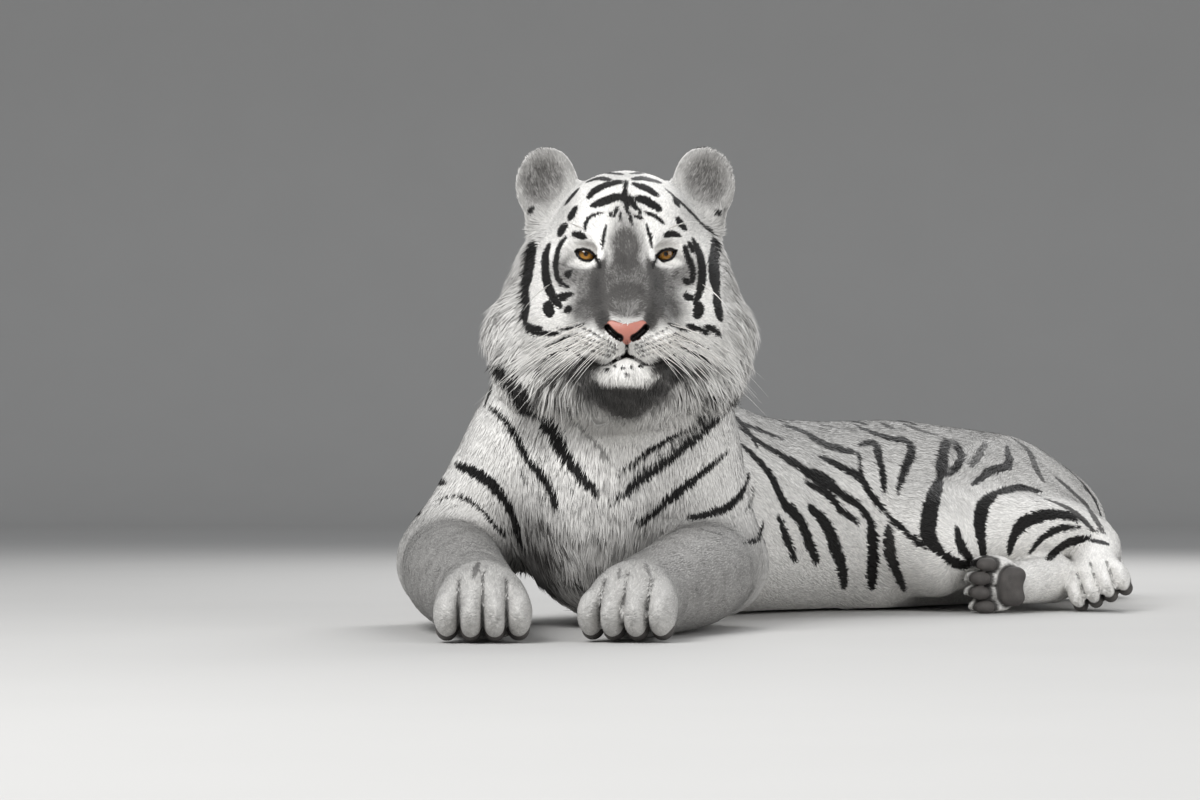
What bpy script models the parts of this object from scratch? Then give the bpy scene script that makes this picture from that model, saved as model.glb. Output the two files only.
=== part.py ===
"""A life-size white tiger lying with its head up, its forelegs straight ahead and its hips rolled
onto the right side. The body is one closed form, parted by thin cuts where its parts are named."""

import math

import bmesh
import bpy
import numpy as np
from mathutils import Vector
from mathutils.bvhtree import BVHTree

# ---- Driving dimensions, in metres. The head looks along -Y, its left is +X, the floor is z = 0.
BROW = np.array((0.034, 0.0, 0.497))  # midway between the two eyes
EYE_SPREAD = 0.105  # from eye to eye, centre to centre
EYE_RADIUS = 0.0172  # of the eyeball
EYE_SET_BACK = 0.0085  # from the line of the lids to the eyeball's centre
CUT = 0.0003  # the gap that parts two pieces
CELL = 0.007  # the grid that the outline is taken from
TRIANGLES = 4700  # in the body, before it is parted
DETAIL_HELD = 0.05  # how far the face and the feet are kept from thinning
FINE_REACH = 0.05  # distance from the face and the feet over which that fades
FOOT_TRIANGLES = 380  # in the right hind foot

# Stations along the trunk, from the breast to the rump:
# x, y, z of the middle, half width, half height, roll onto the right side in degrees
TRUNK = (
    (-0.010, 0.185, 0.178, 0.114, 0.160, 0),
    (0.013, 0.335, 0.195, 0.152, 0.198, 2),
    (0.084, 0.498, 0.178, 0.168, 0.178, 8),
    (0.203, 0.649, 0.150, 0.167, 0.154, 18),
    (0.335, 0.789, 0.141, 0.168, 0.150, 32),
    (0.469, 0.913, 0.140, 0.166, 0.150, 48),
    (0.596, 1.015, 0.130, 0.149, 0.135, 60),
    (0.705, 1.100, 0.110, 0.118, 0.114, 66),
    (0.775, 1.165, 0.085, 0.078, 0.080, 66),
)

FUR = (0.75, 0.74, 0.71)  # the coat's main colour
IRIS = (0.45, 0.20, 0.03)

# A limb is a chain of joints, each x, y, z and radius
RIGHT_ARM = (
    (-0.015, 0.350, 0.370, 0.055),
    (-0.076, 0.225, 0.285, 0.084),
    (-0.206, 0.262, 0.088, 0.073),
    (-0.192, 0.080, 0.072, 0.070),
    (-0.160, -0.100, 0.056, 0.058),
    (-0.148, -0.190, 0.052, 0.052),
)
LEFT_ARM = (
    (0.095, 0.330, 0.370, 0.055),
    (0.100, 0.205, 0.280, 0.084),
    (0.160, 0.225, 0.086, 0.069),
    (0.124, 0.060, 0.072, 0.069),
    (0.068, -0.085, 0.056, 0.058),
    (0.045, -0.170, 0.052, 0.052),
)
LEFT_LEG = (
    (0.655, 0.990, 0.152, 0.112),
    (0.585, 0.850, 0.142, 0.110),
    (0.512, 0.722, 0.106, 0.080),
    (0.640, 0.765, 0.126, 0.058),
    (0.772, 0.850, 0.106, 0.043),
    (0.770, 0.770, 0.064, 0.040),
)
RIGHT_LEG = (
    (0.590, 1.030, 0.090, 0.095),
    (0.470, 0.860, 0.072, 0.080),
    (0.425, 0.775, 0.060, 0.060),
)
RIGHT_HOCK = ((0.700, 0.765, 0.050, 0.042), (0.645, 0.694, 0.046, 0.036))
HAMSTRING = ((0.735, 1.060, 0.118, 0.098), (0.700, 0.890, 0.110, 0.078))
TAIL = (
    (0.800, 1.190, 0.080, 0.056),
    (0.860, 1.290, 0.046, 0.043),
    (0.860, 1.420, 0.038, 0.037),
    (0.780, 1.530, 0.036, 0.035),
    (0.650, 1.580, 0.034, 0.033),
    (0.510, 1.570, 0.033, 0.032),
    (0.390, 1.520, 0.031, 0.030),
    (0.300, 1.450, 0.024, 0.020),
)

# Each foot: the ball, the way the toes point, the way the sole faces, width over the toes
FOOT = {
    "forepaw_right": ((-0.146, -0.205, 0.048), (0.03, -1.0, -0.06), (0, 0, -1), 0.130),
    "forepaw_left": ((0.040, -0.190, 0.048), (-0.20, -1.0, -0.06), (0, 0, -1), 0.130),
    "hind_foot_left": ((0.766, 0.738, 0.050), (-0.14, -1.0, -0.16), (0.35, -0.25, -1), 0.106),
    "hind_foot_right": ((0.612, 0.656, 0.044), (-1.0, -0.10, 0.02), (-0.10, -1, -0.12), 0.096),
}
REACH = 0.12  # nothing further than this from a limb is shaped by it

# Thin cuts where one part ends and the next begins: a corner and two edges
TILTED_CUTS = {
    "head": ((-0.24, -0.035, 0.250), (0.55, 0, 0), (0, 0.26, 0.42)),
    "neck": ((-0.30, 0.045, 0.200), (0.60, 0, 0), (0, 0.33, 0.354)),
    "thigh_right": ((0.403, 0.688, 0.072), (0.552, 0.487, 0), (-0.250, 0.246, 0)),
    "arm_right": ((-0.100, 0.060, -0.500), (-0.028, 0.440, 0.472), (0, 0, 0.724)),
    "arm_left": ((0.040, 0.030, -0.500), (0.216, 0.380, 0.408), (0, 0, 0.692)),
    "hind_foot_left": ((0.722, 0.817, -0.012), (0.108, 0, 0), (0, -0.066, 0.126)),
}
# Upright cuts: where each starts and ends on the floor, its foot and its top
UPRIGHT_CUTS = {
    "forearm_right": ((-0.320, 0.080), (-0.096, 0.088), -0.02, 0.22),
    "forearm_left": ((0.034, 0.038), (0.215, 0.010), -0.02, 0.20),
    "wrist_right": ((-0.260, -0.115), (-0.080, -0.105), -0.02, 0.16),
    "wrist_left": ((-0.020, -0.130), (0.150, -0.090), -0.02, 0.16),
    "chest": ((-0.070, 0.680), (0.310, 0.400), -0.02, 0.45),
    "loin": ((0.190, 0.905), (0.485, 0.615), -0.02, 0.42),
    "thigh_left": ((0.395, 0.690), (0.900, 1.140), -0.02, 0.36),
    "shin_left": ((0.530, 0.600), (0.850, 1.050), -0.02, 0.30),
    "tail_base": ((0.945, 1.160), (0.700, 1.425), -0.02, 0.20),
    "tail_middle": ((0.780, 1.440), (0.880, 1.520), -0.02, 0.12),
    "tail_tip": ((0.500, 1.500), (0.480, 1.640), -0.02, 0.12),
}
# The cut under each ear, beside the brow: its top corner and two edges
EAR_CUT = ((0.057, -0.162, 0.124), (0.104, 0, -0.105), (0, 0.120, 0))
# A point inside each part of the cut body
SEEDS = {
    "head": (0.034, 0.050, 0.480),
    "ear_right": (-0.074, 0.125, 0.600),
    "ear_left": (0.142, 0.125, 0.600),
    "neck": (0.025, 0.170, 0.400),
    "chest": (0.030, 0.330, 0.200),
    "upper_arm_right": (-0.206, 0.262, 0.088),
    "forearm_right": (-0.180, 0.020, 0.065),
    "forepaw_right": (-0.148, -0.190, 0.052),
    "upper_arm_left": (0.185, 0.225, 0.086),
    "forearm_left": (0.110, 0.020, 0.065),
    "forepaw_left": (0.045, -0.170, 0.052),
    "loin": (0.250, 0.690, 0.150),
    "hips": (0.550, 0.970, 0.150),
    "thigh_right": (0.520, 0.950, 0.030),
    "thigh_left": (0.580, 0.800, 0.120),
    "shin_left": (0.700, 0.800, 0.115),
    "hind_foot_left": (0.766, 0.738, 0.050),
    "tail_base": (0.865, 1.350, 0.040),
    "tail_middle": (0.650, 1.580, 0.034),
    "tail_tip": (0.390, 1.520, 0.031),
}


# ---- The outline, as the signed distance of points p (n, 3) to it
def merge(a, b, width):
    """The nearer of two distances, rounded over where they are within width of each other."""
    near = np.maximum(width - np.abs(a - b), 0) / width
    return np.minimum(a, b) - near * near * width * 0.25


def carve(a, b, width):
    """Distance a with form b taken out of it, its edge rounded over width."""
    return -merge(-a, b, width)


def unit(v):
    v = np.asarray(v, float)
    return v / np.linalg.norm(v)


def blob(p, centre, radii, axes=None):
    """An ellipsoid. axes are its own three directions, as rows."""
    q = p - np.asarray(centre)
    if axes is not None:
        q = q @ np.asarray(axes).T
    radii = np.asarray(radii)
    k0 = np.sqrt(((q / radii) ** 2).sum(1))
    k1 = np.sqrt(((q / radii**2) ** 2).sum(1))
    return k0 * (k0 - 1) / np.maximum(k1, 1e-9)


def bone(p, a, b, ra, rb):
    """A tapered rod with round ends."""
    a = np.asarray(a, float)
    along = np.asarray(b, float) - a
    t = np.clip((p - a) @ along / (along @ along), 0, 1)
    return np.sqrt((((p - a) - t[:, None] * along) ** 2).sum(1)) - (ra + t * (rb - ra))


def smooth_rows(rows, count):
    """count rows along a Catmull-Rom curve through rows."""
    rows = np.asarray(rows, float)
    ends = np.vstack([2 * rows[0] - rows[1], rows, 2 * rows[-1] - rows[-2]])
    at = np.linspace(0, len(rows) - 1, count)
    i = np.minimum(at.astype(int), len(rows) - 2)
    t = (at - i)[:, None]
    a, b, c, d = ends[i], ends[i + 1], ends[i + 2], ends[i + 3]
    return 0.5 * (2 * b + (c - a) * t + (2 * a - 5 * b + 4 * c - d) * t**2 + (3 * b - a - 3 * c + d) * t**3)


def chain(p, joints):
    """A limb along a smooth curve through its joints. Points far from it only learn how far, at least."""
    rows = smooth_rows(joints, 4 * (len(joints) - 1) + 1)
    middle = rows[:, :3].mean(0)
    round_it = (np.linalg.norm(rows[:, :3] - middle, axis=1) + rows[:, 3]).max()
    found = np.linalg.norm(p - middle, axis=1) - round_it
    close = found < REACH
    if close.any():
        near = p[close]
        links = [bone(near, a[:3], b[:3], a[3], b[3]) for a, b in zip(rows[:-1], rows[1:])]
        found[close] = np.minimum.reduce(links)
    return found


def trunk_frames():
    """Per station of the trunk: middle, way back, left side, spine side, half width, half height."""
    rows = smooth_rows(TRUNK, 33)
    middle = rows[:, :3]
    back = np.gradient(middle, axis=0)
    back[:, 2] = 0
    back /= np.linalg.norm(back, axis=1)[:, None]
    flat_left = np.stack([back[:, 1], -back[:, 0], np.zeros(len(back))], 1)
    up = np.array((0.0, 0.0, 1.0))
    roll = np.radians(rows[:, 5])[:, None]
    left = np.cos(roll) * flat_left + np.sin(roll) * up
    spine = np.cos(roll) * up - np.sin(roll) * flat_left
    return middle, back, left, spine, rows[:, 3], rows[:, 4]


FRAMES = trunk_frames()


def along_trunk(p):
    """Per point: place along the trunk in stations, and its offsets back, left and towards the spine."""
    middle, back, left, spine = FRAMES[:4]
    best = np.full(len(p), np.inf)
    place = np.zeros(len(p))
    for i in range(len(middle) - 1):
        step = middle[i + 1] - middle[i]
        t = np.clip((p - middle[i]) @ step / (step @ step), 0, 1)
        off = (((p - middle[i]) - t[:, None] * step) ** 2).sum(1)
        nearer = off < best
        best = np.where(nearer, off, best)
        place = np.where(nearer, i + t, place)
    i = np.minimum(place.astype(int), len(middle) - 2)
    t = (place - i)[:, None]
    q = p - (middle[i] * (1 - t) + middle[i + 1] * t)
    offsets = []
    for axis in (back, left, spine):
        way = axis[i] * (1 - t) + axis[i + 1] * t
        offsets.append((q * way).sum(1))
    return place, offsets


def trunk(p):
    place, (behind, side, spine) = along_trunk(p)
    stations = np.arange(len(FRAMES[4]))
    wide = np.interp(place, stations, FRAMES[4])
    tall = np.interp(place, stations, FRAMES[5])
    # The half widths are those of the roll: level across and upright.
    ends = 0.5 * (wide + tall)
    k0 = np.sqrt((side / wide) ** 2 + (spine / tall) ** 2 + (behind / ends) ** 2)
    k1 = np.sqrt((side / wide**2) ** 2 + (spine / tall**2) ** 2 + (behind / ends**2) ** 2)
    return k0 * (k0 - 1) / np.maximum(k1, 1e-9)


def foot_axes(toes, sole):
    """The foot's own directions: across, along the toes, out of the sole."""
    ahead = unit(toes)
    down = unit(np.asarray(sole, float) - np.dot(sole, ahead) * ahead)
    return np.array((np.cross(down, ahead), ahead, down))


def foot(p, ball, toes, sole, width):
    axes = foot_axes(toes, sole)
    q = (p - np.asarray(ball)) @ axes.T
    size = width / 0.130
    found = blob(q, (0, 0.006 * size, 0), np.array((0.058, 0.050, 0.044)) * size)
    for i in (-1.5, -0.5, 0.5, 1.5):
        reach = 0.062 - 0.0085 * abs(i) ** 1.3
        middle = np.array((i * 0.0295, reach - 0.014, 0.010)) * size
        toe = blob(q, middle, np.array((0.0195, 0.042, 0.031)) * size)
        found = merge(found, toe, 0.012 * size)
    return found


def head_places(p):
    """Head co-ordinates: across (both halves alike), ahead of the brow, above it."""
    q = p - BROW
    return np.stack([np.abs(q[:, 0]), -q[:, 1], q[:, 2]], 1)


def eye_hollow(q):
    """The dip round each eye, which lets the front of the eyeball show."""
    return blob(q, (EYE_SPREAD / 2 + 0.001, 0.023, -0.001), (0.023, 0.020, 0.0155))


def head(p):
    q = head_places(p)
    found = blob(q, (0, -0.095, 0.018), (0.104, 0.118, 0.102))
    found = merge(found, blob(q, (0, -0.030, 0.022), (0.075, 0.055, 0.062)), 0.05)
    found = merge(found, bone(q, (0.014, 0.012, -0.012), (0.013, 0.104, -0.082), 0.036, 0.028), 0.045)
    found = merge(found, blob(q, (0.075, -0.020, -0.085), (0.055, 0.060, 0.050)), 0.04)
    found = merge(found, blob(q, (0.074, -0.050, -0.030), (0.050, 0.068, 0.052)), 0.04)
    found = merge(found, bone(q, (0.034, 0.000, -0.062), (0.028, 0.080, -0.105), 0.044, 0.036), 0.04)
    found = merge(found, blob(q, (0.0345, 0.094, -0.120), (0.0365, 0.042, 0.031)), 0.022)
    found = merge(found, blob(q, (0, 0.120, -0.106), (0.026, 0.024, 0.020)), 0.016)
    found = merge(found, blob(q, (0, 0.086, -0.157), (0.041, 0.036, 0.027)), 0.018)
    found = merge(found, bone(q, (0.026, 0.040, -0.145), (0.066, -0.055, -0.110), 0.026, 0.052), 0.035)
    found = merge(found, bone(q, (0, 0.030, -0.165), (0, -0.100, -0.165), 0.045, 0.085), 0.05)
    return found


def ruff(p):
    """The long hair that frames the face, from below the ears to under the jaw."""
    q = head_places(p + RUFF_SHIFT)
    found = bone(q, (0.105, -0.085, -0.004), (0.131, -0.075, -0.100), 0.041, 0.050)
    found = merge(found, bone(q, (0.131, -0.075, -0.100), (0.116, -0.055, -0.155), 0.050, 0.047), 0.03)
    found = merge(found, bone(q, (0.115, -0.055, -0.150), (0.010, 0.010, -0.190), 0.048, 0.028), 0.04)
    return found


EAR_AXES = (unit((0.93, 0.20, 0.30)), unit((-0.26, 0.95, 0.17)), unit((-0.25, -0.24, 0.94)))
EAR_MIDDLE = np.array((0.107, -0.112, 0.104))
RUFF_SHIFT = np.array((0.007, 0, 0))  # the ruff is fuller on the right side


def ear(p):
    q = head_places(p)
    found = blob(q, EAR_MIDDLE, (0.0435, 0.021, 0.054), EAR_AXES)
    hollow = EAR_MIDDLE + np.array((0.002, 0.019, 0.002))
    found = carve(found, blob(q, hollow, (0.031, 0.019, 0.039), EAR_AXES), 0.008)
    return merge(found, blob(q, (0.117, -0.100, 0.052), (0.019, 0.022, 0.028)), 0.012)


def neck(p):
    found = bone(p, (0.034, 0.125, 0.430), (0.012, 0.235, 0.270), 0.115, 0.148)
    nape = bone(p, (0.034, 0.150, 0.500), (0.045, 0.340, 0.355), 0.100, 0.085)
    return merge(found, nape, 0.08)


def outline(p):
    """The tiger out to the tips of its coat, less the right hind foot."""
    found = trunk(p)
    found = merge(found, neck(p), 0.09)
    for limb in (RIGHT_ARM, LEFT_ARM, LEFT_LEG):
        found = merge(found, chain(p, limb[:3]), 0.06)
        found = merge(found, chain(p, limb[2:]), 0.03)
    for limb in (RIGHT_LEG, HAMSTRING, TAIL):
        found = merge(found, chain(p, limb), 0.05)
    for name in ("forepaw_right", "forepaw_left", "hind_foot_left"):
        found = merge(found, foot(p, *FOOT[name]), 0.022)
    face = merge(head(p), ruff(p), 0.04)
    face = merge(face, ear(p), 0.018)
    found = merge(found, face, 0.05)
    return carve(found, eye_hollow(head_places(p)), 0.010)


def right_foot(p):
    """The hind foot that lies on its side, with the hock that carries it."""
    return merge(chain(p, RIGHT_HOCK), foot(p, *FOOT["hind_foot_right"]), 0.022)


# ---- From the outline to a mesh
def distances(form, p, size=200000):
    return np.concatenate([form(p[i : i + size]) for i in range(0, len(p), size)])


def sampled(form, low, high, cell):
    """The outline on a grid, worked out finely only in the blocks near it."""
    block = 6
    counts = np.ceil((high - low) / (cell * block)).astype(int)
    cells = counts * block
    corner = np.stack(np.meshgrid(*[np.arange(n) for n in counts], indexing="ij"), -1).reshape(-1, 3)
    centre = low + (corner + 0.5) * cell * block
    rough = distances(form, centre)
    values = np.repeat(np.repeat(np.repeat(rough.reshape(counts), block, 0), block, 1), block, 2)
    values = np.pad(values, ((0, 1), (0, 1), (0, 1)), mode="edge")
    near = corner[np.abs(rough) < cell * block * 1.35 + 0.02]
    grid = np.stack(np.meshgrid(*[np.arange(block + 1)] * 3, indexing="ij"), -1).reshape(-1, 3)
    at = (near[:, None] * block + grid[None]).reshape(-1, 3)
    flat = np.unique(np.ravel_multi_index(at.T, cells + 1))
    at = np.stack(np.unravel_index(flat, cells + 1), 1)
    values.reshape(-1)[flat] = distances(form, low + at * cell)
    return values


def without_pinches(values, fill=1e-5):
    """Fills the places where two parts of the form would touch along an edge only."""
    while True:
        pinched = 0
        for one, two in ((0, 1), (0, 2), (1, 2)):
            across = [slice(None)] * 3
            across[one] = slice(0, -1)
            across[two] = slice(0, -1)
            corners = {}
            for i, j in np.ndindex(2, 2):
                place = list(across)
                place[one] = slice(i, values.shape[one] - 1 + i)
                place[two] = slice(j, values.shape[two] - 1 + j)
                corners[i, j] = values[tuple(place)]
            for i in (0, 1):
                filled = (corners[i, 0] < 0) & (corners[1 - i, 1] < 0)
                filled &= (corners[1 - i, 0] >= 0) & (corners[i, 1] >= 0)
                corners[1 - i, 0][filled] = -fill
                pinched += filled.sum()
        if not pinched:
            return values


def surface_net(values, low, cell):
    """Points and quads of the zero surface of a sampled distance."""
    values = without_pinches(values)
    inside = values < 0
    count = np.array(values.shape) - 1
    corners = [(i, j, k) for i in (0, 1) for j in (0, 1) for k in (0, 1)]
    parts = [inside[i : i + count[0], j : j + count[1], k : k + count[2]] for i, j, k in corners]
    total = sum(part.astype(np.int8) for part in parts)
    crossed = (total > 0) & (total < 8)
    number = np.full(crossed.shape, -1, np.int64)
    number[crossed] = np.arange(crossed.sum())
    at = np.argwhere(crossed)
    place = np.zeros((len(at), 3))
    weight = np.zeros(len(at))
    for a in corners:
        for axis in range(3):
            if a[axis]:
                continue
            b = list(a)
            b[axis] = 1
            va = values[tuple((at + a).T)]
            vb = values[tuple((at + b).T)]
            cut = (va < 0) != (vb < 0)
            t = np.where(cut, va / np.where(cut, va - vb, 1), 0)
            spot = np.array(a, float) + np.eye(3)[axis] * t[:, None]
            place += spot * cut[:, None]
            weight += cut
    points = low + (at + place / weight[:, None]) * cell
    quads = []
    for axis in range(3):
        one, two = (axis + 1) % 3, (axis + 2) % 3
        start = [slice(0, None)] * 3
        end = [slice(0, None)] * 3
        start[axis], end[axis] = slice(0, -1), slice(1, None)
        edge = np.argwhere(inside[tuple(start)] != inside[tuple(end)])
        edge = edge[(edge[:, one] > 0) & (edge[:, two] > 0)]
        edge = edge[(edge < count).all(1)]
        step_one, step_two = np.eye(3, dtype=int)[one], np.eye(3, dtype=int)[two]
        ring = [edge - step_one - step_two, edge - step_two, edge, edge - step_one]
        quad = np.stack([number[tuple(r.T)] for r in ring], 1)
        outward = inside[tuple(edge.T)]
        quads.append(np.where(outward[:, None], quad, quad[:, ::-1]))
    return points, np.concatenate(quads)


def new_object(name, points, faces):
    mesh = bpy.data.meshes.new(name)
    mesh.from_pydata(np.asarray(points).tolist(), [], np.asarray(faces).tolist())
    made = bpy.data.objects.new(name, mesh)
    bpy.context.scene.collection.objects.link(made)
    return made


def apply_modifiers(made):
    """Replaces the object's mesh by what its modifiers make of it."""
    graph = bpy.context.evaluated_depsgraph_get()
    mesh = bpy.data.meshes.new_from_object(made.evaluated_get(graph))
    made.modifiers.clear()
    made.data = mesh


def thinned(made, triangles, fine):
    """Thins a mesh of quads to about so many triangles, less where fine (a distance) is near nought."""
    kept = made.vertex_groups.new(name="thin_here")
    for i, far in enumerate(np.clip(fine / FINE_REACH, 0, 1)):
        kept.add([i], float(1 - DETAIL_HELD * (1 - far)), "REPLACE")
    thinner = made.modifiers.new("thinned", "DECIMATE")
    thinner.ratio = triangles / (2 * len(made.data.polygons))
    thinner.vertex_group = kept.name
    apply_modifiers(made)


def whole_body():
    low = np.array((-0.42, -0.36, -0.06))
    high = np.array((1.00, 1.72, 0.74))
    points, quads = surface_net(sampled(outline, low, high, CELL), low, CELL)
    body = new_object("body", points, quads)
    fine = np.minimum(head(points), ear(points))
    for place in FOOT.values():
        fine = np.minimum(fine, foot(points, *place))
    thinned(body, TRIANGLES, fine)
    return body


def hind_foot_right():
    """The foot that lies on its side with its hock, before the left leg's room is taken from it."""
    low = np.array((0.50, 0.54, -0.03))
    high = np.array((0.82, 0.86, 0.16))
    points, quads = surface_net(sampled(right_foot, low, high, CELL * 0.7), low, CELL * 0.7)
    made = new_object("hind_foot_right", points, quads)
    thinned(made, FOOT_TRIANGLES, right_foot(points))
    return made


def box(name, corner, one, two, three):
    """A block from one corner along three edges."""
    corner = np.asarray(corner, float)
    edges = np.array((one, two, three), float)
    points = [corner + np.array(way) @ edges for way in np.ndindex(2, 2, 2)]
    faces = ((0, 1, 3, 2), (4, 6, 7, 5), (0, 4, 5, 1), (2, 3, 7, 6), (0, 2, 6, 4), (1, 5, 7, 3))
    if np.linalg.det(edges) < 0:
        faces = [face[::-1] for face in faces]
    return new_object(name, points, faces)


def cutter(made):
    made.hide_render = True
    made.display_type = "WIRE"
    return made


def blade(name, corner, one, two):
    """A thin plate, CUT thick, from a corner along two edges."""
    through = unit(np.cross(one, two)) * CUT
    return cutter(box(name, np.asarray(corner) - through / 2, one, two, through))


def upright_blade(name, start, end, low, high):
    """A blade that stands over the line from start to end on the floor."""
    step = (end[0] - start[0], end[1] - start[1], 0)
    return blade(name, (start[0], start[1], low), step, (0, 0, high - low))


def swell(made, by):
    """Moves every point of a mesh out along its normal."""
    for vertex in made.data.vertices:
        vertex.co += vertex.normal * by


def keep_largest(made):
    """Drops the crumbs that a cut left beside the largest body of a mesh."""
    pieces = sorted(loose_pieces(made), key=lambda piece: piece.calc_volume())
    pieces[-1].to_mesh(made.data)
    for piece in pieces:
        piece.free()


def take_away(made, others):
    for other in others:
        cut = made.modifiers.new(other.name, "BOOLEAN")
        cut.operation = "DIFFERENCE"
        cut.solver = "EXACT"
        cut.object = other
    apply_modifiers(made)


def blades():
    found = [blade("blade_" + name, *place) for name, place in TILTED_CUTS.items()]
    found += [upright_blade("blade_" + name, *place) for name, place in UPRIGHT_CUTS.items()]
    for side, name in ((-1, "blade_ear_right"), (1, "blade_ear_left")):
        turn = np.array((side, -1, 1))
        corner, one, two = (np.array(way) * turn for way in EAR_CUT)
        found.append(blade(name, BROW + corner, one, two))
    return found


def loose_pieces(made):
    """The separate bodies of a mesh, each as its own bmesh."""
    whole = bmesh.new()
    whole.from_mesh(made.data)
    left = set(whole.verts)
    while left:
        stack = [left.pop()]
        piece = set(stack)
        while stack:
            for edge in stack.pop().link_edges:
                for vertex in edge.verts:
                    if vertex not in piece:
                        piece.add(vertex)
                        stack.append(vertex)
        left -= piece
        faces = {face for vertex in piece for face in vertex.link_faces}
        copy = bmesh.new()
        number = {vertex: copy.verts.new(vertex.co) for vertex in piece}
        for face in faces:
            copy.faces.new([number[vertex] for vertex in face.verts])
        yield copy
    whole.free()


def holds(tree, point):
    """Whether a closed body's tree has the point inside it."""
    way = Vector((0.137, 0.211, 0.968)).normalized()
    start = Vector(point)
    hits = 0
    while True:
        place, normal, face, far = tree.ray_cast(start, way)
        if place is None:
            return hits % 2 == 1
        hits += 1
        start = place + way * 1e-5


def part_body(body):
    """Names each loose piece of the cut body for the seed that it holds, and drops any crumb."""
    parts = []
    for piece in loose_pieces(body):
        tree = BVHTree.FromBMesh(piece)
        named = [name for name, seed in SEEDS.items() if holds(tree, seed)]
        if not named:
            piece.free()
            continue
        bmesh.ops.recalc_face_normals(piece, faces=piece.faces)
        mesh = bpy.data.meshes.new(named[0])
        piece.to_mesh(mesh)
        piece.free()
        made = bpy.data.objects.new(named[0], mesh)
        bpy.context.scene.collection.objects.link(made)
        parts.append(made)
    bpy.data.objects.remove(body)
    return parts


def eyeball(name, side, radius):
    mesh = bpy.data.meshes.new(name)
    ball = bmesh.new()
    bmesh.ops.create_uvsphere(ball, u_segments=14, v_segments=9, radius=radius)
    ball.to_mesh(mesh)
    ball.free()
    made = bpy.data.objects.new(name, mesh)
    made.location = BROW + np.array((side * EYE_SPREAD / 2, EYE_SET_BACK, 0))
    bpy.context.scene.collection.objects.link(made)
    return made


def finish(made, name, colour, roughness):
    """Gives a part its material, and round shading that keeps the edges of the cuts."""
    made.name = made.data.name = name
    material = bpy.data.materials.new(name)
    material.use_nodes = True
    shader = material.node_tree.nodes["Principled BSDF"]
    shader.inputs["Base Color"].default_value = (*colour, 1)
    shader.inputs["Roughness"].default_value = roughness
    shader.inputs["Metallic"].default_value = 0
    made.data.materials.append(material)
    made.data.shade_smooth()
    made.data.set_sharp_from_angle(angle=math.radians(50))


def stand_at_origin(parts):
    """Moves the parts so that the middle of their box stands on the world's origin."""
    bpy.context.view_layer.update()
    corners = np.array([made.matrix_world @ Vector(place) for made in parts for place in made.bound_box])
    low, high = corners.min(0), corners.max(0)
    for made in parts:
        made.location -= Vector(((low[0] + high[0]) / 2, (low[1] + high[1]) / 2, low[2]))


def tiger():
    floor = cutter(box("floor", (-1, -1, -0.2), (3, 0, 0), (0, 4, 0), (0, 0, 0.2)))
    sockets = [cutter(eyeball("socket_" + str(side), side, EYE_RADIUS + CUT)) for side in (-1, 1)]
    body = whole_body()
    take_away(body, [floor])
    side_foot = hind_foot_right()
    beside = body.copy()
    beside.data = body.data.copy()
    beside.name = "beside_the_foot"
    bpy.context.scene.collection.objects.link(cutter(beside))
    swell(beside, CUT)
    take_away(side_foot, [floor, beside])
    keep_largest(side_foot)
    take_away(body, sockets + blades())
    parts = part_body(body)
    parts.append(side_foot)
    parts += [eyeball("eye_right", -1, EYE_RADIUS), eyeball("eye_left", 1, EYE_RADIUS)]
    for made in parts:
        eye = made.name.startswith("eye")
        finish(made, made.name, IRIS if eye else FUR, 0.1 if eye else 0.8)
    stand_at_origin(parts)


if __name__ == "__main__":
    for old in list(bpy.data.objects):
        bpy.data.objects.remove(old)
    tiger()
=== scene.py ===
"""The looks of the white tiger: its skin, coat, eyes, nose, pads and whiskers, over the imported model.
The body's form is worked out from the same named sizes as the model's, and the skin lies under it by
the depth of the coat."""

import math

import bpy
import numpy as np
from bpy.props import FloatProperty, FloatVectorProperty, PointerProperty, StringProperty
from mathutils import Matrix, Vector
from mathutils.bvhtree import BVHTree


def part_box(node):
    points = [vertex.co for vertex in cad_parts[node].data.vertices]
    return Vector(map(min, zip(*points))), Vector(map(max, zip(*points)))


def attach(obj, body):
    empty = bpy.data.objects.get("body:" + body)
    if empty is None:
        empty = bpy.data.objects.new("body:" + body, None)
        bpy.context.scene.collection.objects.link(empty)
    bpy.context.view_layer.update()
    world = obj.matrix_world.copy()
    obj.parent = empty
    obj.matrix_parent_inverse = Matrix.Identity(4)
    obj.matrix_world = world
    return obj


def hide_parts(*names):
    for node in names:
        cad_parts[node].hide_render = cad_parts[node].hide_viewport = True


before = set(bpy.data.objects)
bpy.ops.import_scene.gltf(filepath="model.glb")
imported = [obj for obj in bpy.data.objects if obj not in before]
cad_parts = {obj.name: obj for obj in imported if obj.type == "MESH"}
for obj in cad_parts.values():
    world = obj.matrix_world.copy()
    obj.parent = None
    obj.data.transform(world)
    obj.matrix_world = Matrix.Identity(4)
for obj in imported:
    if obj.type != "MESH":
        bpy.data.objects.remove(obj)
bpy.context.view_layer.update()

bl_info = {
    "name": "White tiger",
    "version": (1, 0, 0),
    "blender": (4, 5, 0),
    "location": "View3D > Sidebar > Tiger",
    "description": "Builds the skin, coat, eyes and whiskers of a resting white tiger",
    "category": "Add Mesh",
}


def linear(hex_colour):
    """An sRGB hex colour as linear red, green, blue."""
    parts = [int(hex_colour[i : i + 2], 16) / 255 for i in (0, 2, 4)]
    return tuple(c / 12.92 if c <= 0.04045 else ((c + 0.055) / 1.055) ** 2.4 for c in parts)


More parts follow.
